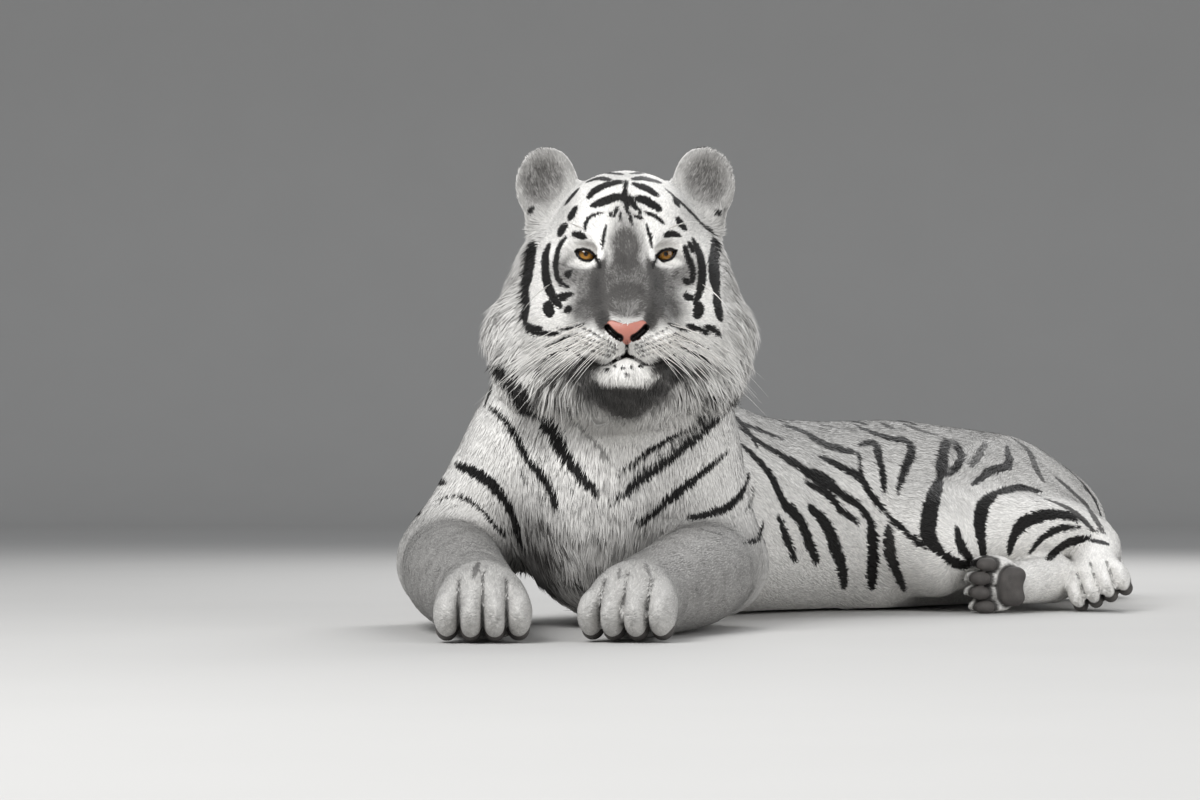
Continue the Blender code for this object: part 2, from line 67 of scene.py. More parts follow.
# ---- Driving dimensions, in metres. The head looks along -Y, its left is +X, the floor is z = 0.
BROW = np.array((0.034, 0.0, 0.497))  # midway between the two eyes
EYE_SPREAD = 0.105  # from eye to eye, centre to centre
EYE_RADIUS = 0.0172  # of the eyeball
EYE_SET_BACK = 0.0085  # from the line of the lids to the eyeball's centre

# Stations along the trunk, from the breast to the rump:
# x, y, z of the middle, half width, half height, roll onto the right side in degrees
TRUNK = (
    (-0.010, 0.185, 0.178, 0.114, 0.160, 0),
    (0.013, 0.335, 0.195, 0.152, 0.198, 2),
    (0.084, 0.498, 0.178, 0.168, 0.178, 8),
    (0.203, 0.649, 0.150, 0.167, 0.154, 18),
    (0.335, 0.789, 0.141, 0.168, 0.150, 32),
    (0.469, 0.913, 0.140, 0.166, 0.150, 48),
    (0.596, 1.015, 0.130, 0.149, 0.135, 60),
    (0.705, 1.100, 0.110, 0.118, 0.114, 66),
    (0.775, 1.165, 0.085, 0.078, 0.080, 66),
)

# A limb is a chain of joints, each x, y, z and radius
RIGHT_ARM = (
    (-0.015, 0.350, 0.370, 0.055),
    (-0.076, 0.225, 0.285, 0.084),
    (-0.206, 0.262, 0.088, 0.073),
    (-0.192, 0.080, 0.072, 0.070),
    (-0.160, -0.100, 0.056, 0.058),
    (-0.148, -0.190, 0.052, 0.052),
)
LEFT_ARM = (
    (0.095, 0.330, 0.370, 0.055),
    (0.100, 0.205, 0.280, 0.084),
    (0.160, 0.225, 0.086, 0.069),
    (0.124, 0.060, 0.072, 0.069),
    (0.068, -0.085, 0.056, 0.058),
    (0.045, -0.170, 0.052, 0.052),
)
LEFT_LEG = (
    (0.655, 0.990, 0.152, 0.112),
    (0.585, 0.850, 0.142, 0.110),
    (0.512, 0.722, 0.106, 0.080),
    (0.640, 0.765, 0.126, 0.058),
    (0.772, 0.850, 0.106, 0.043),
    (0.770, 0.770, 0.064, 0.040),
)
RIGHT_LEG = (
    (0.590, 1.030, 0.090, 0.095),
    (0.470, 0.860, 0.072, 0.080),
    (0.425, 0.775, 0.060, 0.060),
)
RIGHT_HOCK = ((0.700, 0.765, 0.050, 0.042), (0.645, 0.694, 0.046, 0.036))
HAMSTRING = ((0.735, 1.060, 0.118, 0.098), (0.700, 0.890, 0.110, 0.078))
TAIL = (
    (0.800, 1.190, 0.080, 0.056),
    (0.860, 1.290, 0.046, 0.043),
    (0.860, 1.420, 0.038, 0.037),
    (0.780, 1.530, 0.036, 0.035),
    (0.650, 1.580, 0.034, 0.033),
    (0.510, 1.570, 0.033, 0.032),
    (0.390, 1.520, 0.031, 0.030),
    (0.300, 1.450, 0.024, 0.020),
)

# Each foot: the ball, the way the toes point, the way the sole faces, width over the toes
FOOT = {
    "forepaw_right": ((-0.146, -0.205, 0.048), (0.03, -1.0, -0.06), (0, 0, -1), 0.130),
    "forepaw_left": ((0.040, -0.190, 0.048), (-0.20, -1.0, -0.06), (0, 0, -1), 0.130),
    "hind_foot_left": ((0.766, 0.738, 0.050), (-0.14, -1.0, -0.16), (0.35, -0.25, -1), 0.106),
    "hind_foot_right": ((0.612, 0.656, 0.044), (-1.0, -0.10, 0.02), (-0.10, -1, -0.12), 0.096),
}
WHOLE_FOOT = 0.130  # the width that a foot's own sizes are given for
TOE_SPACING = 0.0295
REACH = 0.12  # nothing further than this from a limb is shaped by it


# ---- The forms, each as the signed distance of points p (n, 3) to it
def merge(a, b, width):
    """The nearer of two distances, rounded over where they are within width of each other."""
    near = np.maximum(width - np.abs(a - b), 0) / width
    return np.minimum(a, b) - near * near * width * 0.25


def carve(a, b, width):
    """Distance a with form b taken out of it, its edge rounded over width."""
    return -merge(-a, b, width)


def unit(v):
    v = np.asarray(v, float)
    return v / np.linalg.norm(v)


def blob(p, centre, radii, axes=None):
    """An ellipsoid. axes are its own three directions, as rows."""
    q = p - np.asarray(centre)
    if axes is not None:
        q = q @ np.asarray(axes).T
    radii = np.asarray(radii)
    k0 = np.sqrt(((q / radii) ** 2).sum(1))
    k1 = np.sqrt(((q / radii**2) ** 2).sum(1))
    return k0 * (k0 - 1) / np.maximum(k1, 1e-9)


def bone(p, a, b, ra, rb):
    """A tapered rod with round ends."""
    a = np.asarray(a, float)
    along = np.asarray(b, float) - a
    t = np.clip((p - a) @ along / (along @ along), 0, 1)
    return np.sqrt((((p - a) - t[:, None] * along) ** 2).sum(1)) - (ra + t * (rb - ra))


def smooth_rows(rows, count):
    """count rows along a Catmull-Rom curve through rows."""
    rows = np.asarray(rows, float)
    ends = np.vstack([2 * rows[0] - rows[1], rows, 2 * rows[-1] - rows[-2]])
    at = np.linspace(0, len(rows) - 1, count)
    i = np.minimum(at.astype(int), len(rows) - 2)
    t = (at - i)[:, None]
    a, b, c, d = ends[i], ends[i + 1], ends[i + 2], ends[i + 3]
    return 0.5 * (2 * b + (c - a) * t + (2 * a - 5 * b + 4 * c - d) * t**2 + (3 * b - a - 3 * c + d) * t**3)


def chain(p, joints):
    """A limb along a smooth curve through its joints. Points far from it only learn how far, at least."""
    rows = smooth_rows(joints, 4 * (len(joints) - 1) + 1)
    middle = rows[:, :3].mean(0)
    round_it = (np.linalg.norm(rows[:, :3] - middle, axis=1) + rows[:, 3]).max()
    found = np.linalg.norm(p - middle, axis=1) - round_it
    close = found < REACH
    if close.any():
        near = p[close]
        links = [bone(near, a[:3], b[:3], a[3], b[3]) for a, b in zip(rows[:-1], rows[1:])]
        found[close] = np.minimum.reduce(links)
    return found


def trunk_frames():
    """Per station of the trunk: middle, way back, left side, spine side, half width, half height."""
    rows = smooth_rows(TRUNK, 33)
    middle = rows[:, :3]
    back = np.gradient(middle, axis=0)
    back[:, 2] = 0
    back /= np.linalg.norm(back, axis=1)[:, None]
    flat_left = np.stack([back[:, 1], -back[:, 0], np.zeros(len(back))], 1)
    up = np.array((0.0, 0.0, 1.0))
    roll = np.radians(rows[:, 5])[:, None]
    left = np.cos(roll) * flat_left + np.sin(roll) * up
    spine = np.cos(roll) * up - np.sin(roll) * flat_left
    return middle, back, left, spine, rows[:, 3], rows[:, 4]


FRAMES = trunk_frames()


def along_trunk(p):
    """Per point: place along the trunk in stations, and its offsets back, left and towards the spine."""
    middle, back, left, spine = FRAMES[:4]
    best = np.full(len(p), np.inf)
    place = np.zeros(len(p))
    for i in range(len(middle) - 1):
        step = middle[i + 1] - middle[i]
        t = np.clip((p - middle[i]) @ step / (step @ step), 0, 1)
        off = (((p - middle[i]) - t[:, None] * step) ** 2).sum(1)
        nearer = off < best
        best = np.where(nearer, off, best)
        place = np.where(nearer, i + t, place)
    i = np.minimum(place.astype(int), len(middle) - 2)
    t = (place - i)[:, None]
    q = p - (middle[i] * (1 - t) + middle[i + 1] * t)
    offsets = []
    for axis in (back, left, spine):
        way = axis[i] * (1 - t) + axis[i + 1] * t
        offsets.append((q * way).sum(1))
    return place, offsets


def trunk(p):
    place, (behind, side, spine) = along_trunk(p)
    stations = np.arange(len(FRAMES[4]))
    wide = np.interp(place, stations, FRAMES[4])
    tall = np.interp(place, stations, FRAMES[5])
    # The half widths are those of the roll: level across and upright.
    ends = 0.5 * (wide + tall)
    k0 = np.sqrt((side / wide) ** 2 + (spine / tall) ** 2 + (behind / ends) ** 2)
    k1 = np.sqrt((side / wide**2) ** 2 + (spine / tall**2) ** 2 + (behind / ends**2) ** 2)
    return k0 * (k0 - 1) / np.maximum(k1, 1e-9)


def foot_axes(toes, sole):
    """The foot's own directions: across, along the toes, out of the sole."""
    ahead = unit(toes)
    down = unit(np.asarray(sole, float) - np.dot(sole, ahead) * ahead)
    return np.array((np.cross(down, ahead), ahead, down))


def toe_ends():
    """How far across and ahead of the ball each toe ends, on a foot of WHOLE_FOOT across the toes."""
    return [(i * TOE_SPACING, 0.062 - 0.0085 * abs(i) ** 1.3) for i in (-1.5, -0.5, 0.5, 1.5)]


def foot_places(p, ball, toes, sole):
    """Points from the ball of a foot, in the foot's own directions."""
    return (p - np.asarray(ball)) @ foot_axes(toes, sole).T


def foot(p, ball, toes, sole, width):
    q = foot_places(p, ball, toes, sole)
    size = width / WHOLE_FOOT
    found = blob(q, (0, 0.006 * size, 0), np.array((0.058, 0.050, 0.044)) * size)
    for across, reach in toe_ends():
        middle = np.array((across, reach - 0.014, 0.010)) * size
        toe = blob(q, middle, np.array((0.0195, 0.042, 0.031)) * size)
        found = merge(found, toe, 0.012 * size)
    return found


def head_places(p):
    """Head co-ordinates: across (both halves alike), ahead of the brow, above it."""
    q = p - BROW
    return np.stack([np.abs(q[:, 0]), -q[:, 1], q[:, 2]], 1)


def eye_hollow(q):
    """The dip round each eye, which lets the front of the eyeball show."""
    return blob(q, (EYE_SPREAD / 2 + 0.001, 0.023, -0.001), (0.023, 0.020, 0.0155))


# The head's parts in head co-ordinates: the form, the width over which it is merged into those before
# it, and its middle and radii if it is a blob, or its ends and their radii if it is a bone
HEAD_PARTS = {
    "skull": (blob, 0, (0, -0.095, 0.018), (0.104, 0.118, 0.102)),
    "forehead": (blob, 0.05, (0, -0.030, 0.022), (0.075, 0.055, 0.062)),
    "bridge": (bone, 0.045, (0.014, 0.012, -0.012), (0.013, 0.104, -0.082), 0.036, 0.028),
    "cheek": (blob, 0.04, (0.075, -0.020, -0.085), (0.055, 0.060, 0.050)),
    "cheekbone": (blob, 0.04, (0.074, -0.050, -0.030), (0.050, 0.068, 0.052)),
    "muzzle": (bone, 0.04, (0.034, 0.000, -0.062), (0.028, 0.080, -0.105), 0.044, 0.036),
    "whisker_pad": (blob, 0.022, (0.0345, 0.094, -0.120), (0.0365, 0.042, 0.031)),
    "nose": (blob, 0.016, (0, 0.120, -0.106), (0.026, 0.024, 0.020)),
    "chin": (blob, 0.018, (0, 0.086, -0.157), (0.041, 0.036, 0.027)),
    "jaw": (bone, 0.035, (0.026, 0.040, -0.145), (0.066, -0.055, -0.110), 0.026, 0.052),
    "throat": (bone, 0.05, (0, 0.030, -0.165), (0, -0.100, -0.165), 0.045, 0.085),
}


def head(p):
    q = head_places(p)
    found = None
    for form, width, *sizes in HEAD_PARTS.values():
        part = form(q, *sizes)
        found = part if found is None else merge(found, part, width)
    return found


def ruff(p):
    """The long hair that frames the face, from below the ears to under the jaw."""
    q = head_places(p + RUFF_SHIFT)
    found = bone(q, (0.105, -0.085, -0.004), (0.131, -0.075, -0.100), 0.041, 0.050)
    found = merge(found, bone(q, (0.131, -0.075, -0.100), (0.116, -0.055, -0.155), 0.050, 0.047), 0.03)
    found = merge(found, bone(q, (0.115, -0.055, -0.150), (0.010, 0.010, -0.190), 0.048, 0.028), 0.04)
    return found


EAR_AXES = (unit((0.93, 0.20, 0.30)), unit((-0.26, 0.95, 0.17)), unit((-0.25, -0.24, 0.94)))
EAR_MIDDLE = np.array((0.107, -0.112, 0.104))
RUFF_SHIFT = np.array((0.007, 0, 0))  # the ruff is fuller on the right side


def ear(p):
    q = head_places(p)
    found = blob(q, EAR_MIDDLE, (0.0435, 0.021, 0.054), EAR_AXES)
    hollow = EAR_MIDDLE + np.array((0.002, 0.019, 0.002))
    found = carve(found, blob(q, hollow, (0.031, 0.019, 0.039), EAR_AXES), 0.008)
    return merge(found, blob(q, (0.117, -0.100, 0.052), (0.019, 0.022, 0.028)), 0.012)


def neck(p):
    found = bone(p, (0.034, 0.125, 0.430), (0.012, 0.235, 0.270), 0.115, 0.148)
    nape = bone(p, (0.034, 0.150, 0.500), (0.045, 0.340, 0.355), 0.100, 0.085)
    return merge(found, nape, 0.08)


# ---- From a form to a mesh
def distances(form, p, size=200000):
    return np.concatenate([form(p[i : i + size]) for i in range(0, len(p), size)])


def sampled(form, low, high, cell):
    """A form's distance on a grid, worked out finely only in the blocks near the form."""
    block = 6
    counts = np.ceil((high - low) / (cell * block)).astype(int)
    cells = counts * block
    corner = np.stack(np.meshgrid(*[np.arange(n) for n in counts], indexing="ij"), -1).reshape(-1, 3)
    centre = low + (corner + 0.5) * cell * block
    rough = distances(form, centre)
    values = np.repeat(np.repeat(np.repeat(rough.reshape(counts), block, 0), block, 1), block, 2)
    values = np.pad(values, ((0, 1), (0, 1), (0, 1)), mode="edge")
    near = corner[np.abs(rough) < cell * block * 1.35 + 0.02]
    grid = np.stack(np.meshgrid(*[np.arange(block + 1)] * 3, indexing="ij"), -1).reshape(-1, 3)
    at = (near[:, None] * block + grid[None]).reshape(-1, 3)
    flat = np.unique(np.ravel_multi_index(at.T, cells + 1))
    at = np.stack(np.unravel_index(flat, cells + 1), 1)
    values.reshape(-1)[flat] = distances(form, low + at * cell)
    return values


def without_pinches(values, fill=1e-5):
    """Fills the places where two parts of the form would touch along an edge only."""
    while True:
        pinched = 0
        for one, two in ((0, 1), (0, 2), (1, 2)):
            across = [slice(None)] * 3
            across[one] = slice(0, -1)
            across[two] = slice(0, -1)
            corners = {}
            for i, j in np.ndindex(2, 2):
                place = list(across)
                place[one] = slice(i, values.shape[one] - 1 + i)
                place[two] = slice(j, values.shape[two] - 1 + j)
                corners[i, j] = values[tuple(place)]
            for i in (0, 1):
                filled = (corners[i, 0] < 0) & (corners[1 - i, 1] < 0)
                filled &= (corners[1 - i, 0] >= 0) & (corners[i, 1] >= 0)
                corners[1 - i, 0][filled] = -fill
                pinched += filled.sum()
        if not pinched:
            return values


def surface_net(values, low, cell):
    """Points and quads of the zero surface of a sampled distance."""
    values = without_pinches(values)
    inside = values < 0
    count = np.array(values.shape) - 1
    corners = [(i, j, k) for i in (0, 1) for j in (0, 1) for k in (0, 1)]
    parts = [inside[i : i + count[0], j : j + count[1], k : k + count[2]] for i, j, k in corners]
    total = sum(part.astype(np.int8) for part in parts)
    crossed = (total > 0) & (total < 8)
    number = np.full(crossed.shape, -1, np.int64)
    number[crossed] = np.arange(crossed.sum())
    at = np.argwhere(crossed)
    place = np.zeros((len(at), 3))
    weight = np.zeros(len(at))
    for a in corners:
        for axis in range(3):
            if a[axis]:
                continue
            b = list(a)
            b[axis] = 1
            va = values[tuple((at + a).T)]
            vb = values[tuple((at + b).T)]
            cut = (va < 0) != (vb < 0)
            t = np.where(cut, va / np.where(cut, va - vb, 1), 0)
            spot = np.array(a, float) + np.eye(3)[axis] * t[:, None]
            place += spot * cut[:, None]
            weight += cut
    points = low + (at + place / weight[:, None]) * cell
    quads = []
    for axis in range(3):
        one, two = (axis + 1) % 3, (axis + 2) % 3
        start = [slice(0, None)] * 3
        end = [slice(0, None)] * 3
        start[axis], end[axis] = slice(0, -1), slice(1, None)
        edge = np.argwhere(inside[tuple(start)] != inside[tuple(end)])
        edge = edge[(edge[:, one] > 0) & (edge[:, two] > 0)]
        edge = edge[(edge < count).all(1)]
        step_one, step_two = np.eye(3, dtype=int)[one], np.eye(3, dtype=int)[two]
        ring = [edge - step_one - step_two, edge - step_two, edge, edge - step_one]
        quad = np.stack([number[tuple(r.T)] for r in ring], 1)
        outward = inside[tuple(edge.T)]
        quads.append(np.where(outward[:, None], quad, quad[:, ::-1]))
    return points, np.concatenate(quads)


# ---- The coat: for each form, the depth from skin to tips, the length and width of a lock, how far
# it lifts off the skin in degrees, and the spacing of the roots. Sizes in millimetres.
COAT = {
    "trunk": (4.5, 16, 2.5, 8, 2.9),
    "breast": (8, 25, 2.5, 11, 2.7),
    "neck": (8, 25, 2.4, 11, 2.6),
    "head": (2.6, 8.5, 1.6, 9, 1.65),
    "ruff": (14, 44, 2.5, 15, 2.25),
    "ear": (2.8, 10, 1.7, 10, 1.9),
    "upper_arm": (4, 14, 2.4, 8, 2.9),
    "foreleg": (3, 11, 2.2, 8, 2.6),
    "thigh": (4, 15, 2.4, 8, 3.0),
    "shin": (3.2, 12, 2.2, 8, 2.6),
    "foot": (2.6, 9, 1.9, 8, 2.2),
    "tail": (5.5, 17, 2.5, 10, 3.0),
}
COAT_NAMES = tuple(COAT)
LIMBS = {
    "upper_arm_right": (RIGHT_ARM[:3], 0.06, "upper_arm"),
    "upper_arm_left": (LEFT_ARM[:3], 0.06, "upper_arm"),
    "foreleg_right": (RIGHT_ARM[2:], 0.03, "foreleg"),
    "foreleg_left": (LEFT_ARM[2:], 0.03, "foreleg"),
    "thigh_left": (LEFT_LEG[:3], 0.06, "thigh"),
    "shin_left": (LEFT_LEG[2:], 0.03, "shin"),
    "thigh_right": (RIGHT_LEG, 0.05, "thigh"),
    "hamstring": (HAMSTRING, 0.05, "thigh"),
    "tail": (TAIL, 0.05, "tail"),
    "hock_right": (RIGHT_HOCK, 0.022, "shin"),
}
LIE_EASE = 0.012  # how widely the lie of the coat turns from one form's to the next's
LID = 0.0024  # how far the lids stand off the eyeball
EYE = np.array((EYE_SPREAD / 2, -EYE_SET_BACK, 0.0))  # in head co-ordinates
LID_TILT = math.radians(19)  # the outer corner sits higher
LID_HALF = 0.0140  # half the opening's width
UPPER_LID = 0.0060  # rise of the opening's upper edge over the corners
LOWER_LID = 0.0078  # fall of its lower edge
BODY_CELL = 0.006  # grid of the skin, halved three times towards the eyes and the nose
LOW = np.array((-0.42, -0.36, -0.06))
HIGH = np.array((1.00, 1.72, 0.74))


def forms(p):
    """The distance of each point to each of the body's forms."""
    found = {"trunk": trunk(p), "neck": neck(p)}
    for name, (joints, _, _) in LIMBS.items():
        found[name] = chain(p, joints)
    for name, place in FOOT.items():
        found[name] = foot(p, *place)
    found["head"] = head(p)
    found["ruff"] = ruff(p)
    found["ear"] = ear(p)
    return found


def kind_of(name):
    if name in LIMBS:
        return LIMBS[name][2]
    return "foot" if name in FOOT else name


def tips(found):
    """All the forms merged into one body, out to the tips of the coat."""
    made = merge(found["trunk"], found["neck"], 0.09)
    for name, (_, width, _) in LIMBS.items():
        if name != "hock_right":
            made = merge(made, found[name], width)
    for name in ("forepaw_right", "forepaw_left", "hind_foot_left"):
        made = merge(made, found[name], 0.022)
    face = merge(found["head"], found["ruff"], 0.04)
    made = merge(made, merge(face, found["ear"], 0.018), 0.05)
    beside = merge(found["hock_right"], found["hind_foot_right"], 0.022)
    return merge(made, beside, 0.006)


def shares(found):
    """How much each form counts at each point, the nearest most."""
    nearest = np.minimum.reduce(list(found.values()))
    share = {name: np.exp(-(far - nearest) / LIE_EASE) for name, far in found.items()}
    total = sum(share.values())
    return {name: value / total for name, value in share.items()}


def breast_share(p):
    """How much a point of the trunk belongs to its front."""
    return np.clip((0.36 - p[:, 1]) / 0.14, 0, 1)


def fringe_share(p):
    """How much a point is on the long fringe of the jaw or on the beard under the chin."""
    q = head_places(p)
    out = np.hypot((q[:, 0] - 0.066) / 0.056, (q[:, 2] + 0.156) / 0.026) - 1
    under = np.hypot(q[:, 0] / 0.056, (q[:, 2] + 0.196) / 0.026) - 1
    ahead = np.clip((q[:, 1] + 0.06) / 0.05, 0, 1)
    return ahead * np.clip(0.5 - np.minimum(out, under) / 0.6, 0, 1)


def coat_row(p, found):
    """The row of COAT that holds at each point, as five columns, in metres but for the lift."""
    rows = np.array([COAT[name] for name in COAT_NAMES], float)
    rows[:, (0, 1, 2, 4)] *= 0.001
    table = dict(zip(COAT_NAMES, rows))
    made = 0
    for name, share in shares(found).items():
        row = np.broadcast_to(table[kind_of(name)], (len(p), 5))
        if name == "trunk":
            front = breast_share(p)[:, None]
            row = row * (1 - front) + table["breast"] * front
        made = made + share[:, None] * row
    return made


def lens_far(u, v):
    """Distance in the plane of the face to the edge of the eye's opening, less inside it."""
    turned = u * math.cos(LID_TILT) + v * math.sin(LID_TILT)
    risen = v * math.cos(LID_TILT) - u * math.sin(LID_TILT)
    edges = []
    for rise, side in ((UPPER_LID, 1), (LOWER_LID, -1)):
        radius = (LID_HALF**2 + rise**2) / (2 * rise)
        edges.append(np.hypot(turned, risen + side * (radius - rise)) - radius)
    return np.maximum(*edges)


SIGHTED_FROM = np.array((0.0, -4.2, 0.2))  # the flat drawings of the markings are as seen from here


def sighted(q):
    """Across and above the brow as they look from SIGHTED_FROM, for points q in head co-ordinates."""
    nearer = SIGHTED_FROM[1] / (SIGHTED_FROM[1] + q[:, 1])
    risen = BROW[2] - SIGHTED_FROM[2]
    return q[:, 0] * nearer, (q[:, 2] + risen) * nearer - risen


def line_far(u, v, points):
    """Distance in the plane of the face to a line through points."""
    found = np.full(len(u), np.inf)
    for (a, b), (c, d) in zip(points[:-1], points[1:]):
        t = np.clip(((u - a) * (c - a) + (v - b) * (d - b)) / ((c - a) ** 2 + (d - b) ** 2), 0, 1)
        found = np.minimum(found, np.hypot(u - a - t * (c - a), v - b - t * (d - b)))
    return found


MOUTH = ((0, -0.132), (0.011, -0.136), (0.023, -0.143), (0.037, -0.143), (0.051, -0.138), (0.063, -0.131))
PHILTRUM = ((0, -0.115), (0, -0.133))
NOSTRIL = ((0.0095, -0.1095), (0.0155, -0.1062), (0.0215, -0.1008), (0.0262, -0.0955))
NOSE_BAR = ((0, -0.1002), (0.0200, -0.0925))
NOSE_STEM = ((0, -0.0990), (0, -0.1122))


def nose_far(q):
    """Distance in the plane of the face to the edge of the nose leather, less inside it."""
    u, v = sighted(q)
    bar = line_far(u, v, NOSE_BAR) - (0.0080 - 0.0018 * np.clip(u / 0.0200, 0, 1))
    stem = line_far(u, v, NOSE_STEM) - (0.0082 + 0.0028 * np.clip((v + 0.099) / 0.0132, -1, 0))
    nostril = line_far(u, v, NOSTRIL) - 0.0048
    flat = np.minimum(np.minimum(bar, stem), nostril)
    return np.maximum(flat, (0.078 - q[:, 1]) * 0.5)


def skin(p):
    """The skin under the coat, with lids, nose leather, nostrils and the line of the mouth."""
    found = forms(p)
    made = tips(found) + coat_row(p, found)[:, 0]
    q = head_places(p)
    near = np.linalg.norm(q - (0.03, 0.06, -0.06), axis=1) < 0.17
    if near.any():
        made[near] = faced(q[near], made[near])
    for name in FOOT:
        cleft = toe_places(p, name)[1]
        made = made + 0.0045 * np.exp(-((cleft / 0.0032) ** 2))
    return np.maximum(made, 0.004 - p[:, 2])


def faced(q, made):
    """The face's own detail on the distance made, for points q in head co-ordinates."""
    across, ahead, high = q.T
    made = carve(made, eye_hollow(q), 0.010)
    ball = np.linalg.norm(q - EYE, axis=1) - EYE_RADIUS - LID
    lens = lens_far(across - EYE[0], high - EYE[2])
    reach = np.linalg.norm(q - EYE - (0, 0.004, 0), axis=1) - EYE_RADIUS - 0.0035
    made = merge(made, np.maximum(ball, reach), 0.010)
    made = carve(made, np.maximum(lens, EYE[1] + 0.002 - ahead), 0.0016)
    front = np.clip((ahead - 0.02) / 0.03, 0, 1)
    u, v = sighted(q)
    made = made + 0.0045 * front * np.exp(-((line_far(u, v, MOUTH) / 0.0028) ** 2))
    made = made + 0.0030 * front * np.exp(-((line_far(u, v, PHILTRUM) / 0.0018) ** 2))
    leather = np.clip(0.5 - nose_far(q) / 0.0016, 0, 1)
    made = made - 0.0035 * leather
    hole = np.clip((0.0048 - line_far(u, v, NOSTRIL)) / 0.0035, 0, 1)
    return made + 0.011 * np.clip((ahead - 0.09) / 0.02, 0, 1) * hole


# ---- From the skin's form to a mesh, finer towards the eyes and the nose
def split_faces(points, quads, chosen):
    """Splits each chosen quad in four. Returns the points, the quads, and the triangles that join
    the quads beside them to the new corners."""
    count = len(points)
    sides = np.stack([quads, np.roll(quads, -1, axis=1)], 2)
    sides = np.sort(sides, axis=2)
    keys = sides[..., 0] * count + sides[..., 1]
    split = np.unique(keys[chosen])
    pairs = np.stack([split // count, split % count], 1)
    place = np.searchsorted(split, keys).clip(0, len(split) - 1)
    has = split[place] == keys
    middle = np.where(has, count + place, -1)
    centre_of = np.full(len(quads), -1)
    meets = has.any(1)
    centre_of[meets] = count + len(split) + np.arange(meets.sum())
    points = np.concatenate([points, points[pairs].mean(1), points[quads[meets]].mean(1)])
    a, m, c = quads[chosen], middle[chosen], centre_of[chosen]
    fours = [np.stack([a[:, i], m[:, i], c, m[:, i - 1]], 1) for i in range(4)]
    beside = meets & ~chosen
    fans = []
    for i in range(4):
        start, end = quads[beside, i], quads[beside, (i + 1) % 4]
        half, c = middle[beside, i], centre_of[beside]
        cut = half >= 0
        fans.append(np.stack([start, end, c], 1)[~cut])
        fans.append(np.stack([start, half, c], 1)[cut])
        fans.append(np.stack([half, end, c], 1)[cut])
    return points, np.concatenate([quads[~meets]] + fours), np.concatenate(fans)


def onto(form, points, steps=2, ease=0.0006, most=0.002):
    """Moves points onto the surface of a form."""
    for _ in range(steps):
        ahead = [distances(form, points + step) for step in np.eye(3) * ease]
        behind = [distances(form, points - step) for step in np.eye(3) * ease]
        slope = (np.stack(ahead, 1) - np.stack(behind, 1)) / (2 * ease)
        far = distances(form, points)
        step = far / np.maximum((slope**2).sum(1), 0.2)
        points = points - slope * np.clip(step, -most, most)[:, None]
    return points


def on_toes(points):
    """Which points are on the front of a foot."""
    chosen = np.zeros(len(points), bool)
    for name in FOOT:
        q, _ = toe_places(points, name)
        chosen |= (np.abs(q) < 0.08).all(1) & (q[:, 1] > 0.01)
    return chosen


def skin_mesh():
    """Points, and faces as quads and triangles, of the skin."""
    points, quads = surface_net(sampled(skin, LOW, HIGH, BODY_CELL), LOW, BODY_CELL)
    triangles = []
    for level, size in enumerate(((0.150, 0.20, 0.18), (0.096, 0.16, 0.12), (0, 0, 0))):
        q = head_places(points[quads].mean(1))
        if level < 2:
            middle = np.array((0, 0.02, -0.02) if level == 0 else (0, 0.06, -0.055))
            chosen = (((q - middle) / size) ** 2).sum(1) < 1
            if level == 0:
                chosen |= on_toes(points[quads].mean(1))
        else:
            chosen = (lens_far(q[:, 0] - EYE[0], q[:, 2]) < 0.004) & (q[:, 1] > -0.01)
            chosen |= nose_far(q) < 0.004
        points, quads, fans = split_faces(points, quads, chosen)
        triangles.append(fans)
        if level < 2:
            fresh = (((head_places(points) - middle) / size) ** 2).sum(1) < 1.2
            fresh |= on_toes(points)
            points[fresh] = onto(skin, points[fresh], 1)
    close = (head_places(points) ** 2).sum(1) < 0.25**2
    points[close] = onto(skin, points[close], 2)
    return points, quads, np.concatenate(triangles)


